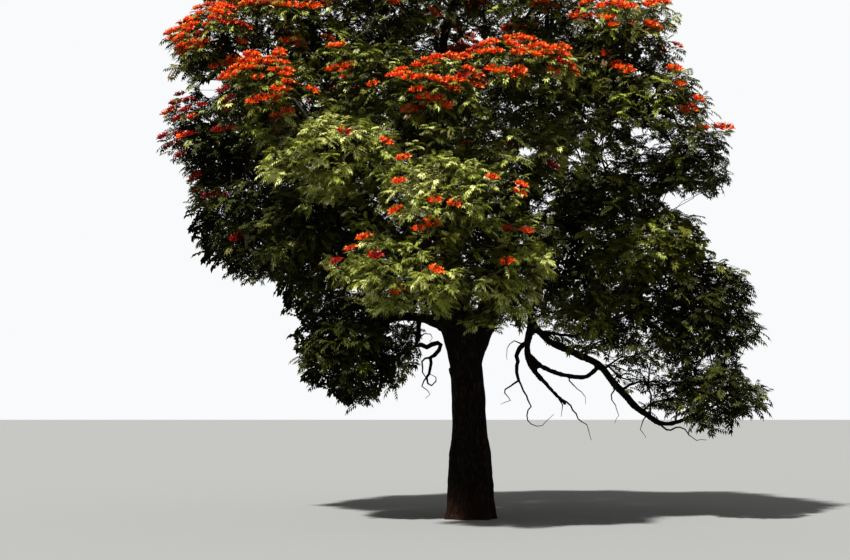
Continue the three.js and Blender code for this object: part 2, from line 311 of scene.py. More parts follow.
WOOD_VOXEL = 0.053
SMOOTHING = 4
FINE_BARK_TOP = 4.9  # below this height the bark's mesh is twice as fine
FINE_BARK_REACH = 0.8  # and within this distance of the trunk's axis
RIB_WIDTH, RIB_LENGTH, RIB_HEIGHT = 0.16, 1.3, 0.034
FURROW_WIDTH, FURROW_LENGTH, FURROW_DEPTH = 0.075, 0.5, 0.016
FURROW_EDGE = 0.16  # the size of the noise below which it sinks into a furrow
KNOB_SIZE, KNOB_HEIGHT, KNOB_SHIFT = 0.30, 0.016, 40  # shifted along the limb, to differ from the ribs
THINNEST, THINNING = 0.35, 1.6  # the relief's scale on the thinnest limb, and how it grows with the radius
RUN_GAP = 11.7  # between the grain's places on one limb and on the next
SPINE_LOTS = 60  # the bark's points are matched to the spine in this many lots, to save memory
CUT_SKIN, LOWEST_BARK = 1e-4, 0.002  # the height up to which bark is the cut, and from which on it is bark


def bark_spine():
    """The centre lines of trunk and limbs as one set of points, each with its frame, radius and run."""
    rows = []
    line, radius, _ = trunk_line()
    lines = [(line, radius), *limb_lines.values()]
    for number, (line, radii) in enumerate(lines):
        tangents, sides, others = carried_frames(line)
        run = run_along(line) + RUN_GAP * number
        rows.append(np.column_stack([line, tangents, sides, others, radii, run]))
    return np.vstack(rows)


def grain_places(points):
    """Each point's place across and along its nearest limb, and the limb's radius there."""
    spine = bark_spine()
    nearest = np.empty(len(points), int)
    for rows in np.array_split(np.arange(len(points)), SPINE_LOTS):
        gaps = np.linalg.norm(points[rows, None] - spine[None, :, :3], axis=2) - spine[None, :, 12]
        nearest[rows] = gaps.argmin(1)
    row = spine[nearest]
    off = points - row[:, :3]
    along = (off * row[:, 3:6]).sum(1) + row[:, 13]
    return np.column_stack([(off * row[:, 6:9]).sum(1), (off * row[:, 9:12]).sum(1), along]), row[:, 12]


def relief(places, radii):
    """How far the bark stands out at each place: broad ribs, knobs, and furrows between plates."""
    heights = np.empty(len(places))
    for i, (x, y, s) in enumerate(places):
        narrow = min(1.0, THINNEST + radii[i] * THINNING)
        rib = noise.noise(Vector((x / RIB_WIDTH, y / RIB_WIDTH, s / RIB_LENGTH)) / narrow)
        crack = abs(noise.noise(Vector((x / FURROW_WIDTH, y / FURROW_WIDTH, s / FURROW_LENGTH)) / narrow))
        knob = noise.noise(Vector((x, y, s + KNOB_SHIFT)) / KNOB_SIZE)
        furrow = max(0.0, 1 - crack / FURROW_EDGE)
        heights[i] = narrow * (rib * RIB_HEIGHT - furrow * FURROW_DEPTH + knob * KNOB_HEIGHT)
    return heights


def wood_union():
    """The trunk and limbs as one skin of even squares, cut flat at the ground."""
    line, _, trunk_radii = trunk_line()
    parts = [tube(line, trunk_radii, TRUNK_SIDES), *(tube(*limb_lines[name], LIMB_SIDES) for name in LIMBS)]
    starts = np.cumsum([0] + [len(points) for points, _ in parts])
    rough = mesh_object("wood", np.vstack([points for points, _ in parts]),
                        np.vstack([faces + start for (_, faces), start in zip(parts, starts)]))
    remesh = rough.modifiers.new("union", "REMESH")
    remesh.mode = "VOXEL"
    remesh.voxel_size = WOOD_VOXEL
    smooth = rough.modifiers.new("ease", "SMOOTH")
    smooth.iterations = SMOOTHING
    skin = bpy.data.meshes.new_from_object(rough.evaluated_get(bpy.context.evaluated_depsgraph_get()))
    bpy.data.objects.remove(rough)
    shape = bmesh.new()
    shape.from_mesh(skin)
    fine = [edge for edge in shape.edges if max(v.co.z for v in edge.verts) < FINE_BARK_TOP
            and all(math.hypot(v.co.x, v.co.y) < FINE_BARK_REACH for v in edge.verts)]
    bmesh.ops.subdivide_edges(shape, edges=fine, cuts=1, use_grid_fill=True)
    everything = [*shape.verts, *shape.edges, *shape.faces]
    bmesh.ops.bisect_plane(shape, geom=everything, plane_co=(0, 0, 0), plane_no=(0, 0, 1), clear_inner=True)
    rim = [edge for edge in shape.edges if edge.is_boundary]
    bmesh.ops.holes_fill(shape, edges=rim, sides=0)
    bmesh.ops.triangulate(shape, faces=shape.faces[:])
    shape.to_mesh(skin)
    shape.free()
    return skin


def bark_piece(material):
    skin = wood_union()
    points = points_of(skin)
    places, radii = grain_places(points)
    normals = np.zeros(len(points) * 3)
    skin.vertices.foreach_get("normal", normals)
    out = relief(places, radii)[:, None] * normals.reshape(-1, 3)
    at_cut = points[:, 2] < CUT_SKIN
    out[at_cut, 2] = 0
    points = points + out
    points[:, 2] = np.where(at_cut, 0, np.maximum(points[:, 2], LOWEST_BARK))
    skin.vertices.foreach_set("co", points.astype(np.float32).ravel())
    mark_grain(skin, places)
    skin.materials.clear()
    skin.materials.append(material)
    skin.shade_smooth()
    skin.update()
    piece = bpy.data.objects.new("trunk_and_boughs", skin)
    bpy.context.scene.collection.objects.link(piece)
    hand_over(piece, ["trunk", *LIMBS])
    print("bark", len(skin.polygons), "triangles")


# The crown's surface: all the masses together

REGIONS = {
    "front": ["front_left", "front_centre_upper", "front_centre_lower", "front_right"],
    "shelf": ["shelf_left", "shelf_centre", "shelf_right", "under_shelf", "middle_upper"],
    "left": ["shoulder_left_outer", "shoulder_left_inner", "flank_left_upper", "flank_left_lower",
             "middle_left", "low_left"],
    "top": ["top_left", "top_centre", "top_right", "back_top"],
    "right": ["shoulder_right_inner", "shoulder_right_outer", "flank_right", "middle_right"],
    "low_right": ["low_right_upper", "low_right_inner", "low_right_outer", "low_right_foot"],
    "back_left": ["back_left_high", "back_left_middle", "back_left_low", "back_centre"],
    "back_right": ["back_right_high", "back_right_middle", "back_right_low", "back_foot"],
}
MASSES = [mass for masses in REGIONS.values() for mass in masses]
REGION_OF = [region for region, masses in REGIONS.items() for _ in masses]
BLOOM_MASSES = ("shoulder_left_outer", "shoulder_left_inner", "flank_left_upper", "shelf_left",
                "shelf_centre", "shelf_right", "top_centre", "shoulder_right_inner", "back_left_high",
                "back_top", "back_right_high")
FROM_MIDDLE = 0.9  # the weight of the way from a mass's middle, beside its surface's own way
TOUCHING = 0.08  # masses this near each other touch, and a ray sets out this far off its surface


class Crown:
    """The masses' surfaces, with a tree for rays and each triangle's mass by number."""

    def __init__(self):
        points, faces, owners, count = [], [], [], 0
        for number, mass in enumerate(MASSES):
            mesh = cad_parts["mass_" + mass].data
            points.append(points_of(mesh))
            faces.append(triangles_of(mesh) + count)
            owners.append(np.full(len(faces[-1]), number))
            count += len(points[-1])
        self.points, self.faces, self.owners = np.vstack(points), np.vstack(faces), np.concatenate(owners)
        self.middles = np.array([rows.mean(0) for rows in points])
        self.tree = BVHTree.FromPolygons(self.points.tolist(), self.faces.tolist())
        a, b, c = (self.points[self.faces[:, k]] for k in range(3))
        cross = np.cross(b - a, c - a)
        self.areas = np.linalg.norm(cross, axis=1) / 2
        self.normals = unit(cross)

    def scattered(self, count):
        """Points spread evenly over the surfaces, with the triangle under each."""
        picked = rng.choice(len(self.faces), count, p=self.areas / self.areas.sum())
        a, b, c = (self.points[self.faces[picked, k]] for k in range(3))
        s, t = rng.random((2, count, 1))
        over = s + t > 1
        s, t = np.where(over, 1 - s, s), np.where(over, 1 - t, t)
        return a + (b - a) * s + (c - a) * t, picked

    def outward(self, points, triangles):
        """A smooth way out of the mass at each point."""
        from_middle = unit(points - self.middles[self.owners[triangles]])
        return unit(self.normals[triangles] + FROM_MIDDLE * from_middle)

    def against_another(self, point, triangle):
        """Whether another mass lies against this place."""
        near = self.tree.find_nearest_range(Vector(point), TOUCHING)
        return any(self.owners[found[2]] != self.owners[triangle] for found in near)

    def open_way(self, point, way, reach):
        """Whether nothing of the crown stands in this way within reach."""
        return self.tree.ray_cast(Vector(point + way * TOUCHING), Vector(way), reach)[0] is None


# Sprays: where the twigs end, each with the way it faces and what it bears

CLUMP_TRIES, OUTER_TRIES, BRIDGE_TRIES, INNER_TRIES = 9000, 40000, 12000, 14000  # places tried on the masses
CLUMP_GAP = 1.05  # between the middles of neighbouring clumps of sprays
CLUMP_EDGE, CLUMP_RAGGED = 0.80, (0.9, 1.25)  # how far from its middle a clump reaches, times a random share
CLUMP_ROOT, CLUMP_FAN = 0.7, 0.5  # its sprays fan out from this far below its middle, and this much outward
SPRAY_GAP = 0.30
REGION_GAPS = {"front": 0.265, "back_left": 0.34, "back_right": 0.34}  # the regions that differ
SHADED_SHARE = 0.8  # of the places that face another mass across a gap
OUTER_DEPTH, CLUMP_DOME = 0.14, 0.45  # how deep the sprays lie at a clump's middle, and more at its edge
DEPTH_STRAY = (-0.06, 0.1)
UNDERSIDE_RISE = 0.22  # how much nearer the surface they lie where it faces down
LIT_DOME = 0.5  # the share of a clump's dome, from its middle, that is in full light: its sprays get lighter tints, as painted light, and those further out darker ones, as painted shade
SUN_REACH = 6.0  # a place is sunny when nothing of the crown stands this near on its way out
LEVELLING, LEAST_RISE = 0.55, 0.25  # how far a spray's way is turned up, and its least rise
INNER_GAP = 0.50
CLOSE_INNER_GAP = 0.42
CLOSE_REGIONS = ("front", "left", "right", "low_right")
DENSE_MASSES = ("low_left", "middle_left", "low_right_outer", "low_right_foot")
DENSE_SHARE = 0.86
INNER_DEPTH = (0.75, 1.5)
BRIDGE_REACH = 1.3  # masses this near each other are joined by sprays across the gap
BRIDGE_GAP = 0.36
BRIDGE_START, BRIDGE_SPAN = 0.03, (0.25, 0.75)  # off the surface, and the part of the gap that bears sprays
FILLING_TRIES = 70
OPEN, SHADED, INNER = 2, 1, 0  # how much light a spray's place gets, by which its leaves' tints are dealt as painted light and shade
HEAD_AREA = 38.0  # square pixels of the photograph for each flower head in a row
HEAD_GAP = 0.14
HEAD_DEPTH, HEAD_LIFT = 0.10, 0.5
HEAD_OUT, HEAD_FAR = 0.35, 0.6  # how far off the surface a head at the edge may stand, and its place may lie
ROW_STRAY = 0.75  # how far the heads lie off a row's line, as a share of its half width
# The chance of a head on a sunny spray that the photograph doesn't show: at the back, for the masses in bloom
# and for the others, and at the sides, for those in bloom. A spray counts as at the back or side when its way
# points there by as much as this, and bears no head when it points further down
BACK_BLOOM, BACK_OTHER, SIDE_BLOOM = 0.42, 0.03, 0.2
AT_BACK, AT_SIDE, NOT_BELOW = 0.1, 0.75, -0.1

# Rows of flower heads in the photograph: from (u, v) to (u, v), and the row's half width, in pixels
HEAD_ROWS = (
    (168, 43, 188, 25, 7), (188, 24, 225, 6, 12), (225, 5, 290, 2, 9), (183, 52, 205, 40, 9),
    (220, 25, 246, 27, 5), (295, 14, 332, 3, 6), (278, 49, 303, 47, 5), (326, 41, 339, 46, 4),
    (245, 59, 275, 60, 7), (228, 66, 262, 66, 7), (216, 75, 234, 76, 6), (256, 76, 263, 77, 4),
    (270, 68, 290, 69, 6), (281, 78, 289, 81, 5), (281, 93, 291, 92, 5), (252, 107, 278, 99, 5),
    (277, 121, 291, 117, 5), (310, 93, 320, 93, 4), (331, 70, 352, 73, 4), (346, 81, 349, 82, 4),
    (372, 90, 374, 90, 4), (388, 77, 405, 70, 5), (406, 79, 409, 80, 4), (418, 67, 441, 60, 5),
    (421, 82, 444, 81, 5), (440, 49, 451, 50, 4), (455, 54, 474, 47, 9), (478, 52, 498, 48, 8),
    (505, 35, 533, 36, 5), (513, 50, 560, 49, 9), (561, 56, 570, 57, 4), (449, 78, 456, 85, 5),
    (465, 76, 498, 72, 8), (504, 73, 528, 79, 6), (462, 87, 482, 86, 6), (420, 109, 440, 103, 7),
    (443, 110, 450, 112, 4), (402, 117, 414, 117, 4), (566, 68, 578, 80, 7), (552, 74, 560, 77, 4),
    (601, 60, 633, 73, 5), (468, 9, 482, 8, 6), (533, 11, 540, 10, 5), (572, 2, 590, 3, 5),
    (599, 7, 631, 9, 6), (649, 6, 668, 4, 5), (435, 16, 438, 18, 4), (396, 9, 399, 10, 4),
    (609, 22, 613, 27, 4), (652, 29, 655, 32, 4), (681, 48, 683, 48, 3), (675, 72, 677, 74, 4),
    (680, 85, 682, 85, 4), (702, 103, 704, 103, 4), (685, 113, 692, 113, 4), (698, 131, 702, 131, 4),
    (721, 130, 731, 131, 3), (541, 8, 556, 12, 5), (575, 16, 586, 22, 5), (602, 19, 614, 29, 5),
    (446, 85, 457, 94, 4), (415, 93, 424, 97, 3),
)
# Single heads, on the sunlit front masses and then on the shaded left flank
SINGLE_HEADS = (
    (325, 273), (333, 266), (521, 198), (524, 188), (507, 266), (494, 179), (388, 145), (413, 146),
    (412, 138), (345, 135), (401, 159), (463, 147), (397, 185), (434, 206), (454, 209), (395, 215),
    (418, 230), (432, 229), (507, 230), (528, 233), (362, 239), (348, 250), (374, 260), (437, 274),
    (398, 297), (551, 172), (178, 95), (187, 101), (173, 104), (200, 107), (171, 110), (183, 112),
    (166, 115), (177, 121), (191, 119), (198, 103), (221, 94), (225, 105), (229, 112), (233, 131),
    (161, 140), (175, 136), (181, 140), (189, 137), (179, 160), (166, 150), (217, 133), (196, 184),
    (195, 192), (206, 197), (214, 196), (221, 198), (236, 243),
)
SHADED_HEADS_LEFT_OF, SHADED_HEADS_BELOW = 245, 88  # pixels: here the heads are in deep shade and are dealt dark crimson, as painted shade
# Where the sky shows through: middle and half sizes, in the photograph's pixels
SKY_GAPS = (
    (212, 84, 14, 9), (240, 50, 14, 4), (297, 44, 5, 3), (305, 98, 6, 5), (340, 18, 4, 4), (441, 13, 6, 5),
    (474, 35, 4, 4), (500, 26, 6, 5), (503, 18, 4, 4), (615, 119, 5, 5), (636, 130, 7, 5), (578, 150, 7, 6),
    (556, 142, 5, 4), (606, 158, 8, 8), (600, 138, 6, 5), (643, 155, 6, 5), (585, 132, 4, 4),
    (622, 168, 5, 4), (571, 166, 4, 4), (593, 173, 5, 3), (657, 178, 6, 4), (550, 196, 4, 3),
    (498, 131, 5, 5), (524, 148, 6, 5), (700, 201, 30, 8), (738, 196, 16, 10), (726, 96, 10, 14),
    (668, 196, 12, 5), (180, 84, 8, 7), (461, 16, 4, 4), (478, 31, 4, 5), (453, 28, 4, 3), (461, 40, 4, 3),
    (521, 12, 4, 3), (511, 27, 4, 3), (486, 134, 4, 4), (490, 145, 3, 3), (503, 153, 4, 3),
    (516, 160, 4, 3), (383, 114, 5, 3), (431, 333, 12, 12), (436, 364, 12, 18), (424, 374, 10, 12),
)

# Where it shows leaves between the masses and under them: middle and half sizes, and from how far in front of
# the trunk's axis to how far behind it, in metres
FILLED_PLACES = (
    (503, 217, 16, 14, -1.3, 1.5), (538, 206, 22, 16, -1.3, 1.5), (546, 230, 16, 12, -1.3, 1.5),
    (485, 275, 14, 12, -1.3, 1.5), (505, 250, 20, 12, -1.3, 1.5), (540, 254, 16, 14, -1.3, 1.5),
    (664, 302, 14, 16, -1.0, 1.0), (672, 332, 16, 14, -1.0, 1.0), (720, 330, 16, 22, -1.0, 1.0),
    (680, 221, 14, 9, -0.8, 1.0), (706, 268, 12, 12, -0.8, 0.8), (226, 196, 10, 10, -1.3, 1.5),
    (464, 307, 38, 15, -1.9, -0.9), (474, 318, 22, 8, -1.5, -0.8), (398, 332, 18, 16, -0.8, 0.6),
    (392, 352, 18, 16, -0.8, 0.6), (564, 318, 24, 10, -0.6, 1.0), (590, 336, 18, 10, -0.6, 0.9),
    (206, 194, 14, 12, -0.8, 0.8), (250, 190, 24, 14, -1.3, 1.0), (256, 27, 14, 14, -1.0, 1.2),
    (503, 8, 10, 8, -1.0, 1.5), (508, 316, 18, 9, -0.8, 0.5), (412, 311, 30, 6, -0.9, 0.1),
    (640, 336, 16, 12, -0.6, 0.8), (600, 328, 18, 7, -0.3, 0.5), (655, 352, 26, 9, -0.3, 0.4),
    (680, 391, 26, 11, -0.4, 0.3), (632, 366, 18, 6, -0.3, 0.3), (440, 130, 24, 22, -1.2, 1.0),
    (485, 130, 24, 22, -1.2, 1.0), (462, 158, 34, 14, -1.2, 1.0), (236, -3, 26, 7, -0.6, 0.8),
    (337, 21, 8, 5, -0.6, 0.8),
)
# Where it shows none: left, top, right and bottom of each box. Sight lines through the crown here are closed
CLOSED_BOXES = (
    (265, 110, 480, 325), (480, 170, 560, 325), (560, 205, 735, 338), (195, 125, 290, 330),
    (300, 290, 400, 392),
)
CLOSING_STEP = 5  # pixels between the sight lines
CLOSING_REACH, CLOSING_COVER = 9, 5  # as many sprays as this must lie within this many pixels of each line
CLOSING_THICKNESS = 1.5  # metres of crown, through which sight lines are closed
CLOSING_MARGIN = 0.5  # from where a sight line enters and leaves the crown
BEYOND = 80  # metres from the camera, on the far side of the tree


class Sprays:
    """The twigs' ends as growing lists: place, way out, mass, how much light it gets, and its heads."""

    def __init__(self):
        self.places, self.ways, self.masses, self.light, self.heads = [], [], [], [], []
        self.cells = {}

    def near(self, place, gap):
        """Whether another spray lies within gap of the place."""
        low = [math.floor((x - gap) / SPRAY_GAP) for x in place]
        high = [math.floor((x + gap) / SPRAY_GAP) for x in place]
        for i in range(low[0], high[0] + 1):
            for j in range(low[1], high[1] + 1):
                for k in range(low[2], high[2] + 1):
                    for other in self.cells.get((i, j, k), ()):
                        if math.dist(place, self.places[other]) < gap:
                            return True
        return False

    def add(self, place, way, mass, light, heads):
        cell = tuple(math.floor(x / SPRAY_GAP) for x in place)
        self.cells.setdefault(cell, []).append(len(self.places))
        self.places.append(place)
        self.ways.append(way)
        self.masses.append(mass)
        self.light.append(light)
        self.heads.append(heads)


def inside(points, ovals):
    """Which points fall in one of the photograph's ovals, seen from the camera."""
    u, v = seen_at(points).T
    found = np.zeros(len(points), bool)
    for middle_u, middle_v, half_u, half_v in ovals:
        found |= ((u - middle_u) / half_u) ** 2 + ((v - middle_v) / half_v) ** 2 < 1
    return found


def in_sky_gap(points):
    return inside(points, SKY_GAPS)


def head_places():
    """The photograph's places of flower heads, filled out along each row."""
    places = list(SINGLE_HEADS)
    for u0, v0, u1, v1, half in HEAD_ROWS:
        length = math.hypot(u1 - u0, v1 - v0)
        count = max(1, round((length + half) * 2 * half / HEAD_AREA))
        for k in range(count):
            share = (k + 0.5) / count
            drift = rng.uniform(-1, 1, 2) * half * ROW_STRAY
            places.append((u0 + (u1 - u0) * share + drift[0], v0 + (v1 - v0) * share + drift[1]))
    return places


def add_seen_heads(crown, sprays):
    """A spray with a head on the crown's surface under each of the photograph's flower heads."""
    for u, v in head_places():
        way = sight_line(u, v)
        hit, _, triangle, _ = crown.tree.ray_cast(Vector(CAMERA_PLACE), Vector(way))
        if hit is None:
            beside = CAMERA_PLACE - way * CAMERA_PLACE[1] / way[1]
            hit, _, triangle, gap = crown.tree.find_nearest(Vector(beside))
            if gap > HEAD_FAR:
                continue
            hit = hit.lerp(Vector(beside), min(1, HEAD_OUT / gap))
        hit = np.array(hit)
        out = crown.outward(hit[None], np.array([triangle]))[0]
        place = hit - out * HEAD_DEPTH
        if not sprays.near(place, HEAD_GAP):
            sprays.add(place, unit(out + HEAD_LIFT * UP), crown.owners[triangle], OPEN, 1)


def clump_middles(crown):
    """Evenly spread middles of the clumps, as a tree of places."""
    points, _ = crown.scattered(CLUMP_TRIES)
    kept = []
    grid = {}
    for point in points:
        cell = tuple(np.floor(point / CLUMP_GAP).astype(int))
        around = [other for i in (-1, 0, 1) for j in (-1, 0, 1) for k in (-1, 0, 1)
                  for other in grid.get((cell[0] + i, cell[1] + j, cell[2] + k), ())]
        if all(math.dist(point, other) > CLUMP_GAP for other in around):
            grid.setdefault(cell, []).append(point)
            kept.append(point)
    tree = KDTree(len(kept))
    for number, point in enumerate(kept):
        tree.insert(Vector(point), number)
    tree.balance()
    return tree


def add_clumped_sprays(crown, sprays):
    """Sprays in domed clumps over the rest of the surface, with dark gaps between the clumps."""
    middles = clump_middles(crown)
    points, triangles = crown.scattered(OUTER_TRIES)
    ways = crown.outward(points, triangles)
    gaps = in_sky_gap(points)
    for point, triangle, way, gap in zip(points, triangles, ways, gaps):
        middle, _, off = middles.find(Vector(point))
        mass = crown.owners[triangle]
        if gap or off > CLUMP_EDGE * rng.uniform(*CLUMP_RAGGED):
            continue
        dome = (off / CLUMP_EDGE) ** 2
        depth = OUTER_DEPTH + CLUMP_DOME * dome + rng.uniform(*DEPTH_STRAY) + UNDERSIDE_RISE * min(way[2], 0)
        place = point - way * depth
        spacing = REGION_GAPS.get(REGION_OF[mass], SPRAY_GAP)
        if sprays.near(place, spacing * (DENSE_SHARE if MASSES[mass] in DENSE_MASSES else 1)):
            continue
        if crown.against_another(point, triangle):
            continue
        sunny = crown.open_way(point, way, SUN_REACH)
        if not sunny and rng.random() > SHADED_SHARE:
            continue
        fan = unit(point - (np.array(middle) - way * CLUMP_ROOT))
        # Painted light and shade: a sunny spray near the clump's middle gets the lighter tints, the rest
        # darker ones
        light = OPEN if sunny and dome < LIT_DOME else SHADED
        sprays.add(place, levelled(way * CLUMP_FAN + fan), mass, light, bears_head(mass, way, sunny))


def levelled(way):
    """A spray's way, turned up from below so that its leaves spread in a layer."""
    raised = unit(way) + LEVELLING * UP
    raised[2] = max(raised[2], LEAST_RISE)
    return unit(raised)


def add_inner_sprays(crown, sprays):
    """Sprays deep inside the masses, in the shade, which close the crown behind the outer ones."""
    points, triangles = crown.scattered(INNER_TRIES)
    ways = crown.outward(points, triangles)
    places = points - ways * rng.uniform(*INNER_DEPTH, (len(points), 1))
    for place, triangle, way, gap in zip(places, triangles, ways, in_sky_gap(places)):
        mass = crown.owners[triangle]
        spacing = CLOSE_INNER_GAP if REGION_OF[mass] in CLOSE_REGIONS else INNER_GAP
        if not gap and not sprays.near(place, spacing):
            # an inner spray is dealt the darkest tints, as painted shade
            sprays.add(place, levelled(way), mass, INNER, 0)


def add_bridging_sprays(crown, sprays):
    """Sprays across the narrow gaps between neighbouring masses."""
    points, triangles = crown.scattered(BRIDGE_TRIES)
    ways = crown.outward(points, triangles)
    for point, triangle, way in zip(points, triangles, ways):
        across = crown.tree.ray_cast(Vector(point + way * BRIDGE_START), Vector(way), BRIDGE_REACH)[3]
        if across is None:
            continue
        place = point + way * across * rng.uniform(*BRIDGE_SPAN)
        if not sprays.near(place, BRIDGE_GAP) and not in_sky_gap(place[None])[0]:
            sprays.add(place, levelled(way), crown.owners[triangle], SHADED, 0)


def add_filling_sprays(crown, sprays):
    """Sprays in the hollows between the masses where the photograph shows leaves."""
    for middle_u, middle_v, half_u, half_v, near, far in FILLED_PLACES:
        for _ in range(FILLING_TRIES):
            u, v = rng.uniform(-1, 1, 2) * (half_u, half_v) + (middle_u, middle_v)
            way = sight_line(u, v)
            place = CAMERA_PLACE + way * (rng.uniform(near, far) - CAMERA_PLACE[1]) / way[1]
            if not sprays.near(place, BRIDGE_GAP) and not in_sky_gap(place[None])[0]:
                triangle = crown.tree.find_nearest(Vector(place))[2]
                sprays.add(place, levelled(unit(rng.normal(0, 1, 3))), crown.owners[triangle], SHADED, 0)


def add_closing_sprays(crown, sprays):
    """Sprays deep in the crown on the sight lines that too few leaves would close."""
    cover = KDTree(len(sprays.places))
    for number, (u, v) in enumerate(seen_at(sprays.places)):
        cover.insert((u, v, 0), number)
    cover.balance()
    closed = []
    for left, top, right, bottom in CLOSED_BOXES:
        for u in range(left, right, CLOSING_STEP):
            for v in range(top, bottom, CLOSING_STEP):
                seen = len(cover.find_range((u, v, 0), CLOSING_REACH))
                if seen >= CLOSING_COVER or any(math.dist((u, v), other) < CLOSING_REACH for other in closed):
                    continue
                way = sight_line(u, v)
                start, end = CAMERA_PLACE, CAMERA_PLACE + way * BEYOND
                _, _, triangle, near = crown.tree.ray_cast(Vector(start), Vector(way))
                if triangle is None:
                    continue
                far = BEYOND - crown.tree.ray_cast(Vector(end), Vector(-way))[3]
                if far - near < CLOSING_THICKNESS:
                    continue
                place = CAMERA_PLACE + way * rng.uniform(near + CLOSING_MARGIN, far - CLOSING_MARGIN)
                if not in_sky_gap(place[None])[0]:
                    closed.append((u, v))
                    # dealt the darkest tints as an inner spray: painted shade
                    sprays.add(place, levelled(unit(rng.normal(0, 1, 3))), crown.owners[triangle], INNER, 0)
    print("closing sprays", len(closed))


def bears_head(mass, way, sunny):
    """Whether a spray that the photograph doesn't show bears a flower head: 1 or 0."""
    bloom = MASSES[mass] in BLOOM_MASSES
    chance = 0
    if sunny and way[1] > AT_BACK and way[2] > NOT_BELOW:
        chance = BACK_BLOOM if bloom else BACK_OTHER
    elif sunny and abs(way[0]) > AT_SIDE and way[2] > 0 and bloom:
        chance = SIDE_BLOOM
    return int(rng.random() < chance)


# Twigs: limbs grow on towards the sprays, step by step

TWIG_STEP = 0.27
TWIG_REACH = 0.40  # a twig this near a spray ends in it
SEASONS = 45
TIP_RADIUS = 0.006
CROOKED = 0.04  # how far each joint between forks and ends lies off the smooth line
LOW_TWIG_MASS = MASSES.index("low_right_inner")  # the low twigs' leaves are dealt as this mass's are
PIPE_POWER = 2.05  # a limb's radius to this power is the sum of what it carries
TUBE_SIDES = ((0.0, 3), (0.014, 5), (0.028, 8))  # from each radius up, this many sides
LIMB_GROWS_FROM = 0.34  # the share of a limb past which it bears twigs
STARTS_APART = 7  # of a limb's points
START_SHARE, START_SWELL = 0.85, 1.5  # there a twig swells so, up to this share of the limb's radius
KEPT_WAY, RISE, STRAY = 0.3, 0.12, 0.1  # what a step keeps of the last one's way, and how it rises and strays
CROWDED = 0.3  # a joint that would stand this near another, in steps, heads for its nearest spray instead
EASING_ROUNDS, EASING_KEEPS = 3, 0.5  # how often a joint is eased, and what it keeps of its own place
FOOT_SWELL = 1.25  # how much thicker a twig starts than it goes on
ACROSS = (0.31, 0.95, 0.05)  # a way that hardly any twig takes, from which the rings' sides are worked out


class Branching:
    """The growing tree as lists: each joint's place, the way it came, its parent and its greatest radius."""

    def __init__(self):
        self.places, self.ways, self.parents, self.limits = [], [], [], []

    def add(self, place, way, parent, limit=1.0):
        self.places.append(np.asarray(place, float))
        self.ways.append(np.asarray(way, float))
        self.parents.append(parent)
        self.limits.append(limit)
        return len(self.places) - 1


def start_on_limbs():
    branching = Branching()
    for name, (line, radii) in limb_lines.items():
        if name in BARE_LIMBS:
            continue
        tangents = carried_frames(line)[0]
        first = round(LIMB_GROWS_FROM * len(line))
        for i in [*range(first, len(line) - 1, STARTS_APART), len(line) - 1]:
            branching.add(line[i], tangents[i], -1, radii[i] * START_SHARE)
    return branching


def grow(branching, ends):
    """Grows joints towards the ends. Returns the joint at each end."""
    waiting = list(range(len(ends)))
    reached = {}
    for _ in range(SEASONS):
        tree = KDTree(len(branching.places))
        for number, place in enumerate(branching.places):
            tree.insert(Vector(place), number)
        tree.balance()
        pulls = {}
        still = []
        for end in waiting:
            _, joint, gap = tree.find(Vector(ends[end]))
            if gap < TWIG_REACH:
                reached[end] = branching.add(ends[end], unit(ends[end] - branching.places[joint]), joint)
            else:
                pulls.setdefault(joint, []).append(end)
                still.append(end)
        waiting = still
        if not waiting:
            break
        for joint, wanted in pulls.items():
            extend(branching, tree, joint, ends[wanted])
    for end in waiting:
        _, joint, _ = tree.find(Vector(ends[end]))
        reached[end] = branching.add(ends[end], unit(ends[end] - branching.places[joint]), joint)
    return np.array([reached[end] for end in range(len(ends))])


def extend(branching, tree, joint, wanted):
    """One step from a joint towards the ends that it is nearest to."""
    place = branching.places[joint]
    mean = unit(wanted - place).mean(0)
    way = unit(mean + KEPT_WAY * branching.ways[joint] + RISE * UP + rng.normal(0, STRAY, 3))
    new = place + way * TWIG_STEP
    if tree.find(Vector(new))[2] < CROWDED * TWIG_STEP:
        nearest = wanted[np.linalg.norm(wanted - place, axis=1).argmin()]
        way = unit(nearest - place)
        new = place + way * TWIG_STEP
    branching.add(new, way, joint)


def eased(places, parents, fixed):
    """The joints between forks and ends, drawn in towards their neighbours."""
    child = np.where(parents >= 0)[0]
    drawn = (1 - EASING_KEEPS) / 2
    for _ in range(EASING_ROUNDS):
        total = np.zeros_like(places)
        count = np.zeros(len(places))
        np.add.at(total, parents[child], places[child])
        np.add.at(count, parents[child], 1)
        free = ~fixed & (count > 0)
        below = total[free] / count[free, None]
        places[free] = EASING_KEEPS * places[free] + drawn * places[parents[free]] + drawn * below
    return places


def pipe_radii(parents, limits, own):
    """Radii that carry what grows on each joint, and each joint's thickest child."""
    load = np.array(own, float)
    for i in range(len(parents) - 1, -1, -1):
        if parents[i] >= 0:
            load[parents[i]] += load[i]
    radii = TIP_RADIUS * np.maximum(load, 1) ** (1 / PIPE_POWER)
    main = np.full(len(parents), -1)
    for i, parent in enumerate(parents):
        if parent < 0:
            radii[i] = min(limits[i], radii[i] * START_SWELL)
            continue
        radii[i] = min(radii[i], radii[parent])
        if main[parent] < 0 or radii[i] > radii[main[parent]]:
            main[parent] = i
    return radii, main


def rings(places, ways, radii, sides):
    """Rings of points across each way, with no twist between rings of nearly the same way."""
    side = unit(np.cross(ways, ACROSS))
    ring, turns = circles(side, np.cross(ways, side), sides)
    return places[:, None] + ring * radii[:, None, None], turns


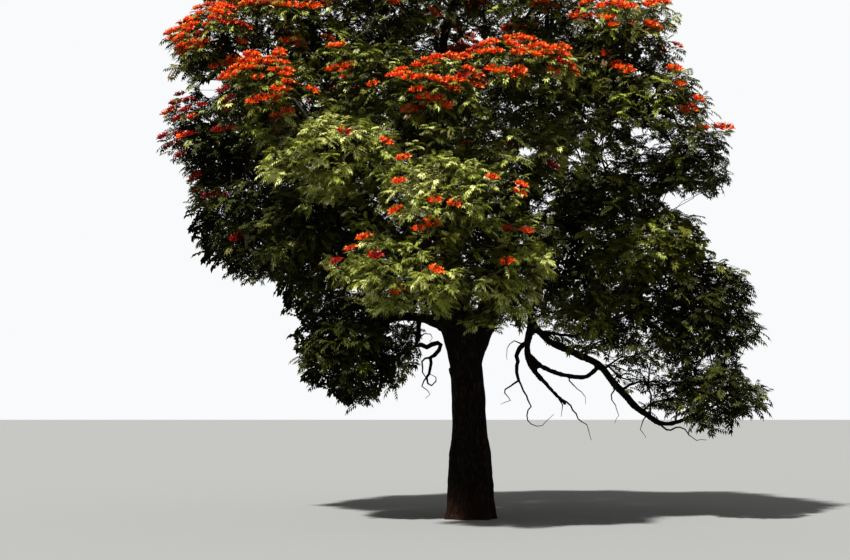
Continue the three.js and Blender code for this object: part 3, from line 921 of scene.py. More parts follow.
def twig_tubes(places, parents, radii, main, runs, sides, sides_of):
    """Tubes for the joints of one number of sides, with each point's place in the grain."""
    mine = np.where((parents >= 0) & (sides_of == sides))[0]
    before = parents[mine]
    ways = np.zeros_like(places)
    grown = parents >= 0
    ways[grown] = unit(places[grown] - places[parents[grown]])
    bent = ways.copy()
    has_main = main >= 0
    bent[has_main] = unit(ways[has_main] + ways[main[has_main]])
    tops, turns = rings(places[mine], bent[mine], radii[mine], sides)
    slot = np.full(len(places), -1)
    slot[mine] = np.arange(len(mine))
    joined = (main[before] == mine) & (slot[before] >= 0)
    new = mine[~joined]
    foot_radii = np.minimum(radii[new] * FOOT_SWELL, radii[parents[new]])
    feet, _ = rings(places[parents[new]], ways[new], foot_radii, sides)
    foot = slot[before]
    foot[~joined] = len(mine) + np.arange(len(new))
    faces = walls_between(foot[:, None] * sides, np.arange(len(mine))[:, None] * sides, sides)
    ends = np.where(main[mine] < 0)[0][:, None] * sides
    caps = [np.hstack([ends, ends + k, ends + k + 1]) for k in range(1, sides - 1)]
    points = np.vstack([tops.reshape(-1, 3), feet.reshape(-1, 3)])
    owners = np.concatenate([mine, new])
    along = np.concatenate([runs[mine], runs[parents[new]]])
    spin = np.tile(turns, len(owners))
    size = np.repeat(radii[owners], sides)
    grain = np.column_stack([size * np.cos(spin), size * np.sin(spin), np.repeat(along, sides)])
    return points, np.vstack([faces, *caps]), grain


# Bare and hanging twigs under the crown, along lines of the photograph: the limb or twig that carries each,
# its radius in metres at the root, how far it turns away in depth over its length, after how many joints it
# bears a spray, or 0 where it is bare, and its points in pixels
LOW_TWIGS = {
    "crook": ("bough_droop", 0.065, -0.5, 0, (
        (529, 343), (522, 346), (518, 352), (517, 370), (518, 381))),
    "crook_left": ("crook", 0.026, -0.4, 0, (
        (518, 381), (511, 386), (504, 391), (510, 400), (500, 404))),
    "crook_right": ("crook", 0.026, 0.6, 0, (
        (518, 381), (525, 393), (530, 405), (526, 415), (530, 424), (540, 425), (554, 415))),
    "crook_top": ("crook", 0.02, 0.4, 0, (
        (522, 346), (514, 341), (508, 348), (507, 360))),
    "droop_left": ("bough_droop", 0.022, -0.5, 0, (
        (557, 397), (562, 406), (561, 416))),
    "droop_right": ("bough_droop", 0.028, 0.3, 0, (
        (557, 397), (570, 405), (578, 419), (587, 426), (591, 440))),
    "link_hang": ("bough_droop_link", 0.02, 0.5, 0, (
        (571, 374), (574, 386), (583, 394), (586, 404))),
    "fall_high": ("bough_low_fall", 0.035, 0.7, 0, (
        (578, 356), (586, 350), (598, 350), (612, 358), (622, 355))),
    "fall_out": ("bough_low_fall", 0.032, -0.6, 0, (
        (599, 366), (610, 368), (622, 378), (640, 380), (652, 390))),
    "fall_hang": ("bough_low_fall", 0.022, 0.4, 0, (
        (615, 387), (612, 400), (618, 410), (615, 424))),
    "reach_hang": ("bough_low_reach", 0.02, 0.3, 0, (
        (646, 416), (640, 428), (646, 438))),
    "reach_out": ("bough_low_reach", 0.03, 0.5, 0, (
        (653, 422), (668, 430), (680, 428), (694, 438), (706, 440))),
    "rise_high": ("bough_low_rise", 0.04, 0.8, 0, (
        (512, 296), (520, 282), (534, 276), (550, 262))),
    "rise_out": ("bough_low_rise", 0.035, 0.5, 4, (
        (520, 303), (538, 305), (552, 312), (570, 310), (590, 322), (606, 318))),
    "arch_hang": ("bough_arch_fall", 0.055, 0.3, 2, (
        (641, 264), (641, 284), (640, 304), (648, 322), (668, 336), (690, 344), (704, 338))),
    "arch_hang_fork": ("arch_hang", 0.028, -0.4, 3, (
        (648, 322), (660, 338), (667, 352), (669, 372))),
    "arch_hang_left": ("arch_hang", 0.028, -0.6, 2, (
        (640, 304), (628, 316), (622, 330), (608, 338))),
    "arch_hang_low": ("arch_hang", 0.028, 0.5, 2, (
        (668, 336), (676, 352), (688, 362), (690, 380))),
    "arch_drop": ("bough_arch_fall", 0.04, -0.5, 3, (
        (590, 234), (598, 250), (602, 268), (596, 286), (604, 304))),
    "fall_shelf": ("bough_low_fall", 0.05, 0.4, 2, (
        (541, 329), (550, 333), (567, 335), (579, 335), (588, 330), (600, 332))),
    "fall_leafy": ("bough_low_fall", 0.03, 0.5, 2, (
        (585, 356), (592, 346), (606, 340), (620, 337), (632, 342))),
    "fall_leafy_out": ("bough_low_fall", 0.03, -0.4, 2, (
        (602, 370), (614, 360), (628, 357), (644, 352), (654, 356))),
    "fall_leafy_far": ("bough_low_fall", 0.034, 0.3, 2, (
        (618, 390), (632, 384), (648, 382), (664, 384), (680, 378), (692, 382))),
    "reach_leafy": ("bough_low_reach", 0.032, -0.5, 2, (
        (640, 410), (654, 402), (670, 398), (686, 394), (702, 398))),
    "arch_hang_near": ("arch_hang", 0.03, -0.7, 2, (
        (641, 284), (630, 294), (616, 302), (604, 314), (596, 326))),
    "arch_hang_last": ("arch_hang", 0.022, 0.3, 2, (
        (704, 338), (712, 350), (722, 362), (738, 368))),
    "left_hang": ("bough_left_low", 0.06, 0.1, 0, (
        (418, 321), (419, 333), (417, 346))),
    "left_hang_back": ("left_hang", 0.025, 0.3, 2, (
        (418, 335), (408, 332), (398, 330))),
    "left_hang_loop": ("left_hang", 0.055, -0.3, 0, (
        (417, 346), (428, 346), (439, 342), (439, 350), (433, 357), (424, 358), (423, 368), (426, 378))),
    "left_hang_end": ("left_hang_loop", 0.04, 0.3, 0, (
        (430, 358), (430, 369), (427, 379), (432, 386), (436, 379), (431, 374))),
    "left_hang_tip": ("left_hang_end", 0.022, -0.2, 0, (
        (427, 379), (422, 385), (430, 393), (426, 399))),
    "left_hang_side": ("left_hang", 0.024, 0.2, 0, (
        (418, 338), (425, 334), (432, 337), (429, 342))),
    "left_hang_out": ("left_hang", 0.024, -0.4, 2, (
        (417, 346), (408, 351), (401, 363), (397, 376), (392, 384))),
    "left_low_drop": ("bough_left_low", 0.024, 0.2, 2, (
        (415, 318), (410, 334), (402, 348), (404, 366))),
}
LOW_TWIG_STEP, LOW_TWIG_CROOKED = 0.14, 0.018
LOW_TWIG_TIP = 0.25  # a low twig's radius at its tip, as a share of its root's


def low_twig_line(carrier, pixels, depth_drift):
    """A twig's line in space, from the carrier's point that lies behind its first pixel."""
    start = carrier[np.linalg.norm(seen_at(carrier) - pixels[0], axis=1).argmin()]
    points = [start]
    for (u, v), share in list(zip(pixels, np.linspace(0, 1, len(pixels))))[1:]:
        way = sight_line(u, v)
        points.append(CAMERA_PLACE + way * (start[1] + depth_drift * share - CAMERA_PLACE[1]) / way[1])
    line = smooth_line(points, LOW_TWIG_STEP)
    line[1:] += rng.normal(0, LOW_TWIG_CROOKED, (len(line) - 1, 3))
    return line


def add_low_twigs(branching, sprays):
    """The twigs under the crown, and their sprays. Returns the load on each joint and the sprays' joints."""
    lines = {name: line for name, (line, _) in limb_lines.items()}
    joints = {}
    loads, bearing = {}, []
    for name, (carrier, radius, drift, every, pixels) in LOW_TWIGS.items():
        line = low_twig_line(lines[carrier], pixels, drift)
        if carrier in joints:
            joint = joints[carrier][np.linalg.norm(lines[carrier] - line[0], axis=1).argmin()]
        else:
            joint = branching.add(line[0], unit(line[1] - line[0]), -1, radius)
        joints[name] = [joint]
        pipes = (radius * np.linspace(1, LOW_TWIG_TIP, len(line)) / TIP_RADIUS) ** PIPE_POWER
        for step, place in enumerate(line[1:], 1):
            joint = branching.add(place, unit(place - branching.places[joint]), joint)
            joints[name].append(joint)
            loads[joint] = pipes[step] - (pipes[step + 1] if step + 1 < len(line) else 0)
            if every and (step % every == 0 or step == len(line) - 1) and step > 1:
                sprays.add(place, levelled(branching.ways[joint]), LOW_TWIG_MASS, SHADED, 0)
                bearing.append(joint)
        lines[name] = line
    return loads, bearing


# Leaves: each is pinnate, of folded leaflets along a stalk that sags

LEAF_LENGTH = (0.31, 0.42)
FRONT_LEAF_LENGTH = (0.27, 0.37)
BACK_LEAF_LENGTH = (0.34, 0.46)
INNER_LEAF_LENGTH = (0.46, 0.58)
LEAFLET_LENGTH = 0.31  # as a share of the leaf's length
# Each model of leaf: its pairs of leaflets, their width and how far they hang, as shares of its length
FINE_LEAVES = ((6, 0.072, 0.42), (5, 0.085, 0.30))
BROAD_LEAVES = ((5, 0.100, 0.34), (5, 0.115, 0.22))
BACK_LEAVES = ((4, 0.125, 0.34), (4, 0.140, 0.22))
INNER_LEAF = (4, 0.25, 0.2)
FIRST_PAIR, LAST_PAIR = 0.22, 0.90
SHORTEST_PAIR, PAIR_SWELL = 0.78, 0.22  # a pair's length: the first number, and up to the second more
SWELL_START, SWELL_SPAN = 0.25, 0.6  # the part of half a wave by which it swells
PAIR_TURN, TURN_LOSS, TURN_STRAY = 70, 20, 5  # degrees off the stalk: the first pair's, less at the last
HANG_STRAY, TIP_HANG = 0.14, 0.2
LEAFLET_HALF, LEAFLET_FOLD = 0.56, 0.20  # its reach to each side and its fold, as shares of its width
LEAFLET_WIDEST, LEAFLET_FALL = 0.42, 0.08  # where it is widest and how its point falls, by its length
STALK_WIDTH = 0.012
SAG_SHORTENS = 0.22  # how much of its reach a leaf loses by its sag
LEAF_SAG, LEAF_ROLL = (0.15, 0.6), 0.35
GOLDEN_TURN = 2.4  # radians from one leaf, cup or bud to the next, as on most plants
FULL_TURN = 6.28  # radians
LEAF_TURN_STRAY = 0.25
FIRST_LIFT, MORE_LIFT, LIFT_STRAY = 2, 48, 9  # degrees: of a spray's first leaf, more of its last, and stray
FLATTENING, RAISING = 0.55, 0.08  # what a leaf keeps of its rise, and what is added
SPRAY_STEM = 0.16  # the length of stem that bears a spray's leaves
SPRAY_ACROSS = np.array([0.36, 0.48, 0.8])  # a spray's leaves are counted round from near this way
TWIG_PULL = 0.35  # the weight of the twig's way in its spray's
LEAD_SHARE = 0.60  # of a spray's leaves take the first of its two tints
LEAF_MIDDLE, LEFT_OUT = 0.25, 0.93  # a leaf whose middle, this far out, is in a gap is left out this often
LEAVES_PER_SPRAY = {"front": (8, 11), "left": (6, 8), "shelf": (6, 8), "top": (6, 8), "right": (6, 8)}
FEWER_LEAVES = (5, 7)  # on a spray of the other regions
INNER_LEAVES = (4, 6)  # on a spray deep inside
LEAVES_PER_HEAD_SPRAY = (5, 7)

# Shade classes of the masses, by which their leaves' tints are dealt, as painted light and shade
PAINTED_FULL_SUN, PAINTED_SUN, SUNNY, PAINTED_EVEN_LIGHT, MIDDLE, DARK, DIM = "bright", "painted_sun", "sunny", "warm", "middle", "dark", "dim"
PAINTED_FULL_SUN_PLACE = (324, 112, 46, 13)  # of the photograph, where sprays get the lightest tints, painted sunlight as bright as on the mass below them
# The evenly lit right top: lighter olive tints, as painted light
PAINTED_EVEN_LIGHT_MASSES = ("top_right", "shoulder_right_inner")
# Masses in half shade: mid tints, lighter than their shade, as painted light
MIDDLE_MASSES = ("under_shelf", "middle_upper", "low_right_upper", "low_right_inner")
# Masses in deep shade under the crown: the darkest tints, as painted shade
DIM_MASSES = ("flank_left_upper", "flank_left_lower", "middle_left", "low_left", "low_right_outer",
              "low_right_foot")
# Masses lit from above: lighter tints in the open, as painted light
SUNNY_MASSES = (*REGIONS["shelf"], *REGIONS["top"], "shoulder_left_outer", "shoulder_left_inner",
                "shoulder_right_outer")
# The front masses get light tints as painted sunlight, and the front left the lightest
SHADE_OF = {mass: PAINTED_SUN for mass in REGIONS["front"]}  # the masses not named here are dark, partly their own dark green and partly painted shade
SHADE_OF["front_left"] = PAINTED_FULL_SUN
SHADE_OF |= {mass: SUNNY for mass in SUNNY_MASSES}
SHADE_OF |= {mass: PAINTED_EVEN_LIGHT for mass in PAINTED_EVEN_LIGHT_MASSES}
SHADE_OF |= {mass: MIDDLE for mass in MIDDLE_MASSES}
SHADE_OF |= {mass: DIM for mass in DIM_MASSES}
# The light tints stand mostly for sunlit leaves and the dark ones for shaded leaves: painted light and shade
LEAF_TINTS = {  # base colour, roughness and gloss
    "lime": ((0.49, 0.505, 0.160), 0.42, 0.32),
    "yellow_green": ((0.285, 0.315, 0.052), 0.42, 0.30),
    "grass": ((0.162, 0.182, 0.024), 0.42, 0.26),
    "olive": ((0.095, 0.095, 0.013), 0.45, 0.18),
    "mid_green": ((0.047, 0.053, 0.009), 0.50, 0.09),
    "deep_green": ((0.024, 0.027, 0.005), 0.55, 0.06),
    "shade_green": ((0.012, 0.012, 0.003), 0.65, 0.04),
    "bronze": ((0.110, 0.066, 0.014), 0.45, 0.22),
}
TINT_NAMES = list(LEAF_TINTS)
# How often each tint is dealt to a spray, in the order of the tints above, by shade class and light: lighter
# tints in the sun and darker ones in shade and deep inside, as painted light and shade
DEALS = {
    (PAINTED_FULL_SUN, OPEN): (0.46, 0.36, 0.14, 0.04, 0, 0, 0, 0),
    (PAINTED_FULL_SUN, SHADED): (0.14, 0.20, 0.28, 0.20, 0.10, 0.05, 0, 0.03),
    (PAINTED_FULL_SUN, INNER): (0, 0, 0.04, 0.12, 0.28, 0.34, 0.22, 0),
    (PAINTED_SUN, OPEN): (0.22, 0.37, 0.24, 0.10, 0.05, 0.02, 0, 0),
    (PAINTED_SUN, SHADED): (0.16, 0.20, 0.19, 0.16, 0.13, 0.10, 0.06, 0),
    (PAINTED_SUN, INNER): (0, 0, 0, 0.03, 0.18, 0.40, 0.39, 0),
    (SUNNY, OPEN): (0.03, 0.12, 0.25, 0.29, 0.17, 0.04, 0, 0.10),
    (SUNNY, SHADED): (0, 0.03, 0.09, 0.21, 0.32, 0.26, 0.07, 0.02),
    (SUNNY, INNER): (0, 0, 0, 0.04, 0.20, 0.40, 0.36, 0),
    (PAINTED_EVEN_LIGHT, OPEN): (0.07, 0.20, 0.33, 0.26, 0.06, 0, 0, 0.08),
    (PAINTED_EVEN_LIGHT, SHADED): (0.01, 0.07, 0.22, 0.34, 0.24, 0.08, 0, 0.04),
    (PAINTED_EVEN_LIGHT, INNER): (0, 0, 0, 0.12, 0.34, 0.36, 0.18, 0),
    (MIDDLE, OPEN): (0.04, 0.10, 0.22, 0.32, 0.24, 0.06, 0, 0.02),
    (MIDDLE, SHADED): (0.02, 0.13, 0.29, 0.30, 0.18, 0.08, 0, 0),
    (MIDDLE, INNER): (0, 0.02, 0.18, 0.34, 0.28, 0.16, 0.02, 0),
    (DARK, OPEN): (0.01, 0.04, 0.13, 0.28, 0.32, 0.18, 0.02, 0.02),
    (DARK, SHADED): (0, 0, 0.03, 0.11, 0.32, 0.39, 0.15, 0),
    (DARK, INNER): (0, 0, 0, 0.02, 0.13, 0.40, 0.45, 0),
    (DIM, OPEN): (0, 0, 0.01, 0.10, 0.35, 0.40, 0.14, 0),
    (DIM, SHADED): (0, 0, 0.02, 0.08, 0.26, 0.40, 0.24, 0),
    (DIM, INNER): (0, 0, 0, 0, 0.08, 0.36, 0.56, 0),
}


def leaf_template(pairs, width, hang):
    """A leaf a unit long: x along the stalk, y across it, z up. width is each leaflet's, hang its fall."""
    points = [(0, -STALK_WIDTH, 0), (0, STALK_WIDTH, 0), (1 - LEAFLET_LENGTH, 0, 0)]
    faces = [(0, 2, 1)]
    span = 1 - LEAFLET_LENGTH
    for k in range(pairs):
        share = k / (pairs - 1)
        x = span * (FIRST_PAIR + (LAST_PAIR - FIRST_PAIR) * share) / LAST_PAIR
        length = LEAFLET_LENGTH * (
            SHORTEST_PAIR + PAIR_SWELL * math.sin(math.pi * (SWELL_START + SWELL_SPAN * share)))
        for side in (-1, 1):
            turn = math.radians(PAIR_TURN - TURN_LOSS * share + TURN_STRAY * math.sin(7 * k + side))
            fall = hang + HANG_STRAY * math.cos(3 * k + side)
            way = np.array([math.cos(turn), side * math.sin(turn), -fall])
            add_leaflet(points, faces, np.array([x, 0, 0]), unit(way), length, width)
    add_leaflet(points, faces, np.array([span, 0, 0]), unit([1, 0, -TIP_HANG]), LEAFLET_LENGTH, width)
    return np.array(points), np.array(faces)


def add_leaflet(points, faces, foot, way, length, width):
    """A pointed leaflet of two faces, folded along its midrib."""
    across = unit(np.cross(UP, way)) * width * LEAFLET_HALF
    fold = np.cross(way, unit(across)) * width * LEAFLET_FOLD
    first = len(points)
    wide = foot + way * length * LEAFLET_WIDEST
    tip = foot + way * length - UP * length * LEAFLET_FALL
    points += [foot, tip, wide - across + fold, wide + across + fold]
    faces += [(first, first + 2, first + 1), (first, first + 1, first + 3)]


def placed(template, origins, ways, sides, ups, sizes, sags):
    """Copies of a template as one set of points and faces. A sag bends a copy down along its x."""
    points, faces = template
    sizes, sags = sizes[:, None, None], sags[:, None, None]
    along = points[None, :, 0, None]
    x, y, z = (points[None, :, k, None] * sizes for k in range(3))
    sag = sags * along**2 * sizes
    shorter = 1 - SAG_SHORTENS * sags * along
    made = origins[:, None] + ways[:, None] * x * shorter + sides[:, None] * y + ups[:, None] * z - UP * sag
    copies = faces[None] + np.arange(len(origins))[:, None, None] * len(points)
    return made.reshape(-1, 3), copies.reshape(-1, 3)


class Batch:
    """Points and faces gathered for one piece."""

    def __init__(self):
        self.points, self.faces, self.finishes, self.count = [], [], [], 0

    def add(self, points, faces, finishes):
        self.points.append(points)
        self.faces.append(faces + self.count)
        self.finishes.append(finishes)
        self.count += len(points)

    def piece(self, name, materials):
        faces = np.vstack(self.faces)
        print(name, len(faces), "triangles")
        return mesh_object(name, np.vstack(self.points), faces, materials, np.concatenate(self.finishes))


def spray_leaves(place, way, count):
    """The leaves of one spray: each one's foot and the way it sets out."""
    side = unit(without(SPRAY_ACROSS, way))
    turns = rng.uniform(0, FULL_TURN) + np.arange(count) * GOLDEN_TURN + rng.normal(0, LEAF_TURN_STRAY, count)
    share = (np.arange(count) + 0.5) / count
    lift = np.radians(FIRST_LIFT + MORE_LIFT * share + rng.normal(0, LIFT_STRAY, count))
    out = turned(np.tile(side, (count, 1)), np.tile(way, (count, 1)), turns)
    ways = out * np.cos(lift)[:, None] + way * np.sin(lift)[:, None]
    ways[:, 2] = FLATTENING * ways[:, 2] + RAISING
    feet = place - way * (SPRAY_STEM * (1 - share))[:, None]
    return feet, unit(ways)


def leaves_at(region, light, heads):
    """The least and most leaves on a spray, and their least and greatest length."""
    if light == INNER:
        return *INNER_LEAVES, *INNER_LEAF_LENGTH
    count = LEAVES_PER_HEAD_SPRAY if heads else LEAVES_PER_SPRAY.get(region, FEWER_LEAVES)
    if region == "front":
        return *count, *FRONT_LEAF_LENGTH
    return *count, *(LEAF_LENGTH if region in LEAVES_PER_SPRAY else BACK_LEAF_LENGTH)


def deal_leaves(sprays, twig_ways):
    """All the leaves, as arrays: foot, way, size, sag, tint, mass, and whether it is an inner one."""
    feet, ways, sizes, sags, tints, masses, inner = [], [], [], [], [], [], []
    # Sprays in this place get the lightest tints, as painted sunlight
    bright = inside(np.array(sprays.places), [PAINTED_FULL_SUN_PLACE]) & (np.array(sprays.places)[:, 1] < 0)
    for i, place in enumerate(sprays.places):
        mass = sprays.masses[i]
        light = sprays.light[i]
        # The tints are dealt by the mass's shade class and the spray's light: painted light and shade
        deal = DEALS[PAINTED_FULL_SUN if bright[i] else SHADE_OF.get(MASSES[mass], DARK), light]
        way = unit(TWIG_PULL * twig_ways[i] + sprays.ways[i])
        low, high, shortest, longest = leaves_at(REGION_OF[mass], light, sprays.heads[i])
        count = rng.integers(low, high + 1)
        foot, out = spray_leaves(place, way, count)
        feet.append(foot)
        ways.append(out)
        sizes.append(rng.uniform(shortest, longest, count))
        sags.append(rng.uniform(*LEAF_SAG, count))
        lead, other = rng.choice(len(TINT_NAMES), 2, p=deal)
        tints.append(np.where(rng.random(count) < LEAD_SHARE, lead, other))
        masses.append(np.full(count, mass))
        inner.append(np.full(count, light == INNER))
    return [np.concatenate(rows) for rows in (feet, ways, sizes, sags, tints, masses, inner)]


def leaf_pieces(sprays, twig_ways, materials):
    feet, ways, sizes, sags, tints, masses, inner = deal_leaves(sprays, twig_ways)
    keep = ~(in_sky_gap(feet + ways * LEAF_MIDDLE) & (rng.random(len(feet)) < LEFT_OUT))
    flat = unit(np.cross(UP, ways))
    sides = turned(flat, ways, rng.normal(0, LEAF_ROLL, len(feet)))
    ups = np.cross(ways, sides)
    regions = np.array(REGION_OF)[masses]
    models = np.where(inner, len(BROAD_LEAVES), rng.integers(0, len(BROAD_LEAVES), len(feet)))
    for region, names in REGIONS.items():
        front = region == "front"
        shapes = FINE_LEAVES if front else BACK_LEAVES if region.startswith("back") else BROAD_LEAVES
        batch = Batch()
        for model, shape in enumerate((*shapes, INNER_LEAF)):
            template = leaf_template(*shape)
            mine = np.where(keep & (regions == region) & (models == model))[0]
            made, faces = placed(template, feet[mine], ways[mine], sides[mine], ups[mine], sizes[mine],
                                 sags[mine])
            batch.add(made, faces, np.repeat(tints[mine], len(template[1])))
        piece = batch.piece("leaves_" + region, materials)
        hand_over(piece, ["mass_" + name for name in names])


# Blossom: heads of upturned cups round a dome of curved buds

HEAD_SIZE = (0.29, 0.39)
PETAL_TINTS = {
    "scarlet": ((0.66, 0.022, 0.007), 0.45, 0.4),
    "orange": ((0.88, 0.105, 0.010), 0.45, 0.4),
    # A dark crimson for heads in shade, as painted shade
    "painted_shade_crimson": ((0.27, 0.008, 0.012), 0.45, 0.4),
    "golden_edge": ((0.90, 0.24, 0.02), 0.45, 0.4),
    "bud": ((0.10, 0.065, 0.02), 0.55, 0.3),
}
PETAL, EDGE, BUD, OTHER_PETAL = range(4)  # the parts of a head
# The tint of each part, for heads in the sun, heads that are mostly orange, and heads in deep shade, whose
# dark crimson is painted shade
HEAD_DEALS = np.array([(0, 3, 4, 1), (1, 3, 4, 0), (2, 0, 4, 2)])
HEAD_CHANCES = (0.52, 0.40, 0.08)  # of each of them; the few dark crimson heads among the rest are painted shade
SHADED_DEAL, SHADED_CHANCE = 2, 0.9  # the one for deep shade, dealt as painted shade, and how often it is dealt there
HEAD_MODELS, MODEL_SEED = 4, 400
CUPS_PER_HEAD = 8  # up to two more on some models
CUP_SIDES = 5
CUP_FOOT, CUP_MOUTH = (0.00, 0.08), (0.60, 0.26)  # a cup's rings: how far up and out, as shares of its length
CUP_NOTCH, LOBE_TIP, LOBE_TWIST = (0.92, 0.46), (0.86, 0.56), 0.10
CUP_LENGTH, CUP_STRAY = (0.30, 0.40), 0.15
CUP_ACROSS, BUD_ACROSS = (0.3, 0.2, 0.9), (0.2, 0.5, 0.7)  # ways from which their sides are worked out
CUPS_FROM, CUPS_SPREAD = 0.10, 0.16  # how far from the head's middle the cups stand, and up to how much more
CUP_LIFT, LIFT_LOSS = (60, 85), 190  # degrees from level, less so many for each unit further out
OTHER_PETAL_SHARE = 0.35
BUDS_PER_HEAD = 8
BUD_TURN = 1  # radians to the first bud
BUD_LIFT, BUD_STEP = 90, 8  # degrees: the first bud's lift, and how much less the next one's is
BUD_FOOT, BUD_MIDDLE, BUD_TIP = 0.03, 0.16, 0.25
BUD_HALF, BUD_CURVE = 0.035, 0.03
HEAD_TWIG_PULL, HEAD_RISE = 0.25, 1.7  # the weights of the twig's way and of straight up in a head's way
HEAD_STEM = 0.06
BEHIND = 0.15  # a head that faces further back than this belongs to the back's piece


def add_cup(points, faces, parts, foot, way, length, petal):
    """A cup of five lobes: a swollen tube, then lobes that turn out to golden edges."""
    side = unit(np.cross(way, CUP_ACROSS))
    other = np.cross(way, side)
    first = len(points)
    turns = np.arange(CUP_SIDES) * 2 * math.pi / CUP_SIDES
    spokes, halves = ([side * math.cos(t) + other * math.sin(t) for t in turns + more]
                      for more in (0, math.pi / CUP_SIDES))
    rings_of_cup = ((CUP_FOOT, spokes), (CUP_MOUTH, spokes), (CUP_NOTCH, halves), (LOBE_TIP, halves))
    for (up, out), across in rings_of_cup:
        points += [foot + way * length * up + spoke * length * out for spoke in across]
    for k, spoke in enumerate(spokes):
        points[first + 3 * CUP_SIDES + k] += spoke * length * LOBE_TWIST
    for k in range(CUP_SIDES):
        after = (k + 1) % CUP_SIDES
        a, b, c, d = (first + place for place in (k, after, CUP_SIDES + k, CUP_SIDES + after))
        lobe, edge = first + 2 * CUP_SIDES + k, first + 3 * CUP_SIDES + k
        faces += [(a, b, d), (a, d, c), (c, d, lobe), (c, lobe, edge)]
        parts += [petal, petal, petal, EDGE]


def head_template(number):
    """A head a unit across: upturned cups in a loose ring, buds over the middle, and each face's part."""
    dealt = np.random.default_rng(MODEL_SEED + number)
    points, faces, parts = [], [], []
    cups = CUPS_PER_HEAD + number % 3
    for k in range(cups):
        turn = k * GOLDEN_TURN + dealt.normal(0, CUP_STRAY)
        reach = CUPS_FROM + CUPS_SPREAD * math.sqrt((k + 0.5) / cups)
        lift = math.radians(dealt.uniform(*CUP_LIFT) - LIFT_LOSS * (reach - CUPS_FROM))
        flat = np.array([math.cos(turn), math.sin(turn), 0])
        way = flat * math.cos(lift) + UP * math.sin(lift)
        petal = OTHER_PETAL if dealt.random() < OTHER_PETAL_SHARE else PETAL
        add_cup(points, faces, parts, flat * reach, way, dealt.uniform(*CUP_LENGTH), petal)
    for k in range(BUDS_PER_HEAD):
        turn, lift = k * GOLDEN_TURN + BUD_TURN, math.radians(BUD_LIFT - BUD_STEP * k)
        way = np.array([math.cos(turn) * math.cos(lift), math.sin(turn) * math.cos(lift), math.sin(lift)])
        across = unit(np.cross(way, BUD_ACROSS)) * BUD_HALF
        first = len(points)
        points += [way * BUD_FOOT, way * BUD_MIDDLE + across, way * BUD_MIDDLE - across,
                   way * BUD_TIP + UP * BUD_CURVE]
        faces += [(first, first + 1, first + 3), (first, first + 3, first + 2), (first, first + 2, first + 1)]
        parts += [BUD, BUD, BUD]
    return np.array(points), np.array(faces), np.array(parts)


def blossom_pieces(sprays, twig_ways, materials):
    bearing = np.where(np.array(sprays.heads) > 0)[0]
    places = np.array(sprays.places)[bearing]
    ways = unit(np.array(sprays.ways)[bearing] + HEAD_TWIG_PULL * twig_ways[bearing] + HEAD_RISE * UP)
    places = places + ways * HEAD_STEM
    sizes = rng.uniform(*HEAD_SIZE, len(places))
    tilt = unit(without(rng.normal(0, 1, ways.shape), ways))
    # Heads in deep shade are mostly dealt dark crimson, as painted shade
    u, v = seen_at(places).T
    shaded = (u < SHADED_HEADS_LEFT_OF) & (v > SHADED_HEADS_BELOW)
    deals = rng.choice(len(HEAD_DEALS), len(places), p=HEAD_CHANCES)
    deals[shaded & (rng.random(len(places)) < SHADED_CHANCE)] = SHADED_DEAL
    models = rng.integers(0, HEAD_MODELS, len(places))
    behind = ways[:, 1] > BEHIND
    for name, chosen in (("blossom_front", ~behind), ("blossom_back", behind)):
        batch = Batch()
        for model in range(HEAD_MODELS):
            points, faces, parts = head_template(model)
            mine = np.where(chosen & (models == model))[0]
            made, copies = placed((points, faces), places[mine], tilt[mine], np.cross(ways[mine], tilt[mine]),
                                  ways[mine], sizes[mine], np.zeros(len(mine)))
            batch.add(made, copies, HEAD_DEALS[deals[mine]][:, parts].ravel())
        hand_over(batch.piece(name, materials))


# Materials

STREAK_STRETCH, CRACK_STRETCH = 9, 4  # how many times longer than wide the pattern runs along a limb
STREAK_DETAIL, PATCH_DETAIL = (5, 0.62), (7, 0.68)
PATCHES_PER_METRE = 2.6
CRACK_WOBBLE, CRACK_EDGE = 0.9, 0.16
# The bark's colours are its own near-black brown, darkened further as painted shade of the crown
STREAK_COLOURS = ((0.28, (0.003, 0.0016, 0.0011)), (0.47, (0.010, 0.0050, 0.0030)),
                  (0.60, (0.024, 0.014, 0.009)), (0.78, (0.080, 0.056, 0.038)))
CRACK_COLOUR, LICHEN_COLOUR, FOOT_COLOUR = (0.003, 0.002, 0.0015), (0.11, 0.11, 0.08), (0.045, 0.018, 0.009)
LICHEN_RANGE = (0.62, 0.74, 0, 0.28)  # from these values of the patches, to these shares of its colour
FOOT_RANGE = (0.9, 0.0, 0, 0.5)  # from these heights
ROUGH_RANGE = (0.3, 0.7, 0.95, 0.72)  # from these values of the streaks, to these roughnesses
BARK_GLOSS, BUMP_STRENGTH = 0.15, 0.8
STEM_GRAIN, BRANCH_GRAIN = (0.030, 0.060, 0.03), (0.014, 0.03, 0.012)  # widths of streak and crack, and bump
TWIG_LOOK, GROUND_LOOK = ((0.038, 0.026, 0.018), 0.8), ((0.25, 0.25, 0.24), 0.9)  # colour and roughness


def plain_material(name, colour, roughness, gloss=0.25):
    """One even colour, for leaves, petals and twigs too small to bear a pattern."""
    material = bpy.data.materials.new(name)
    material.use_nodes = True
    shader = material.node_tree.nodes["Principled BSDF"]
    shader.inputs["Base Color"].default_value = (*colour, 1)
    shader.inputs["Roughness"].default_value = roughness
    shader.inputs["Specular IOR Level"].default_value = gloss
    return material


def add_node(tree, kind, inputs, **settings):
    """A node with its settings. Each of its inputs is linked to a socket or set to a value."""
    node = tree.nodes.new(kind)
    for name, value in settings.items():
        setattr(node, name, value)
    for name, value in inputs.items():
        if isinstance(value, bpy.types.NodeSocket):
            tree.links.new(value, node.inputs[name])
        else:
            node.inputs[name].default_value = value
    return node


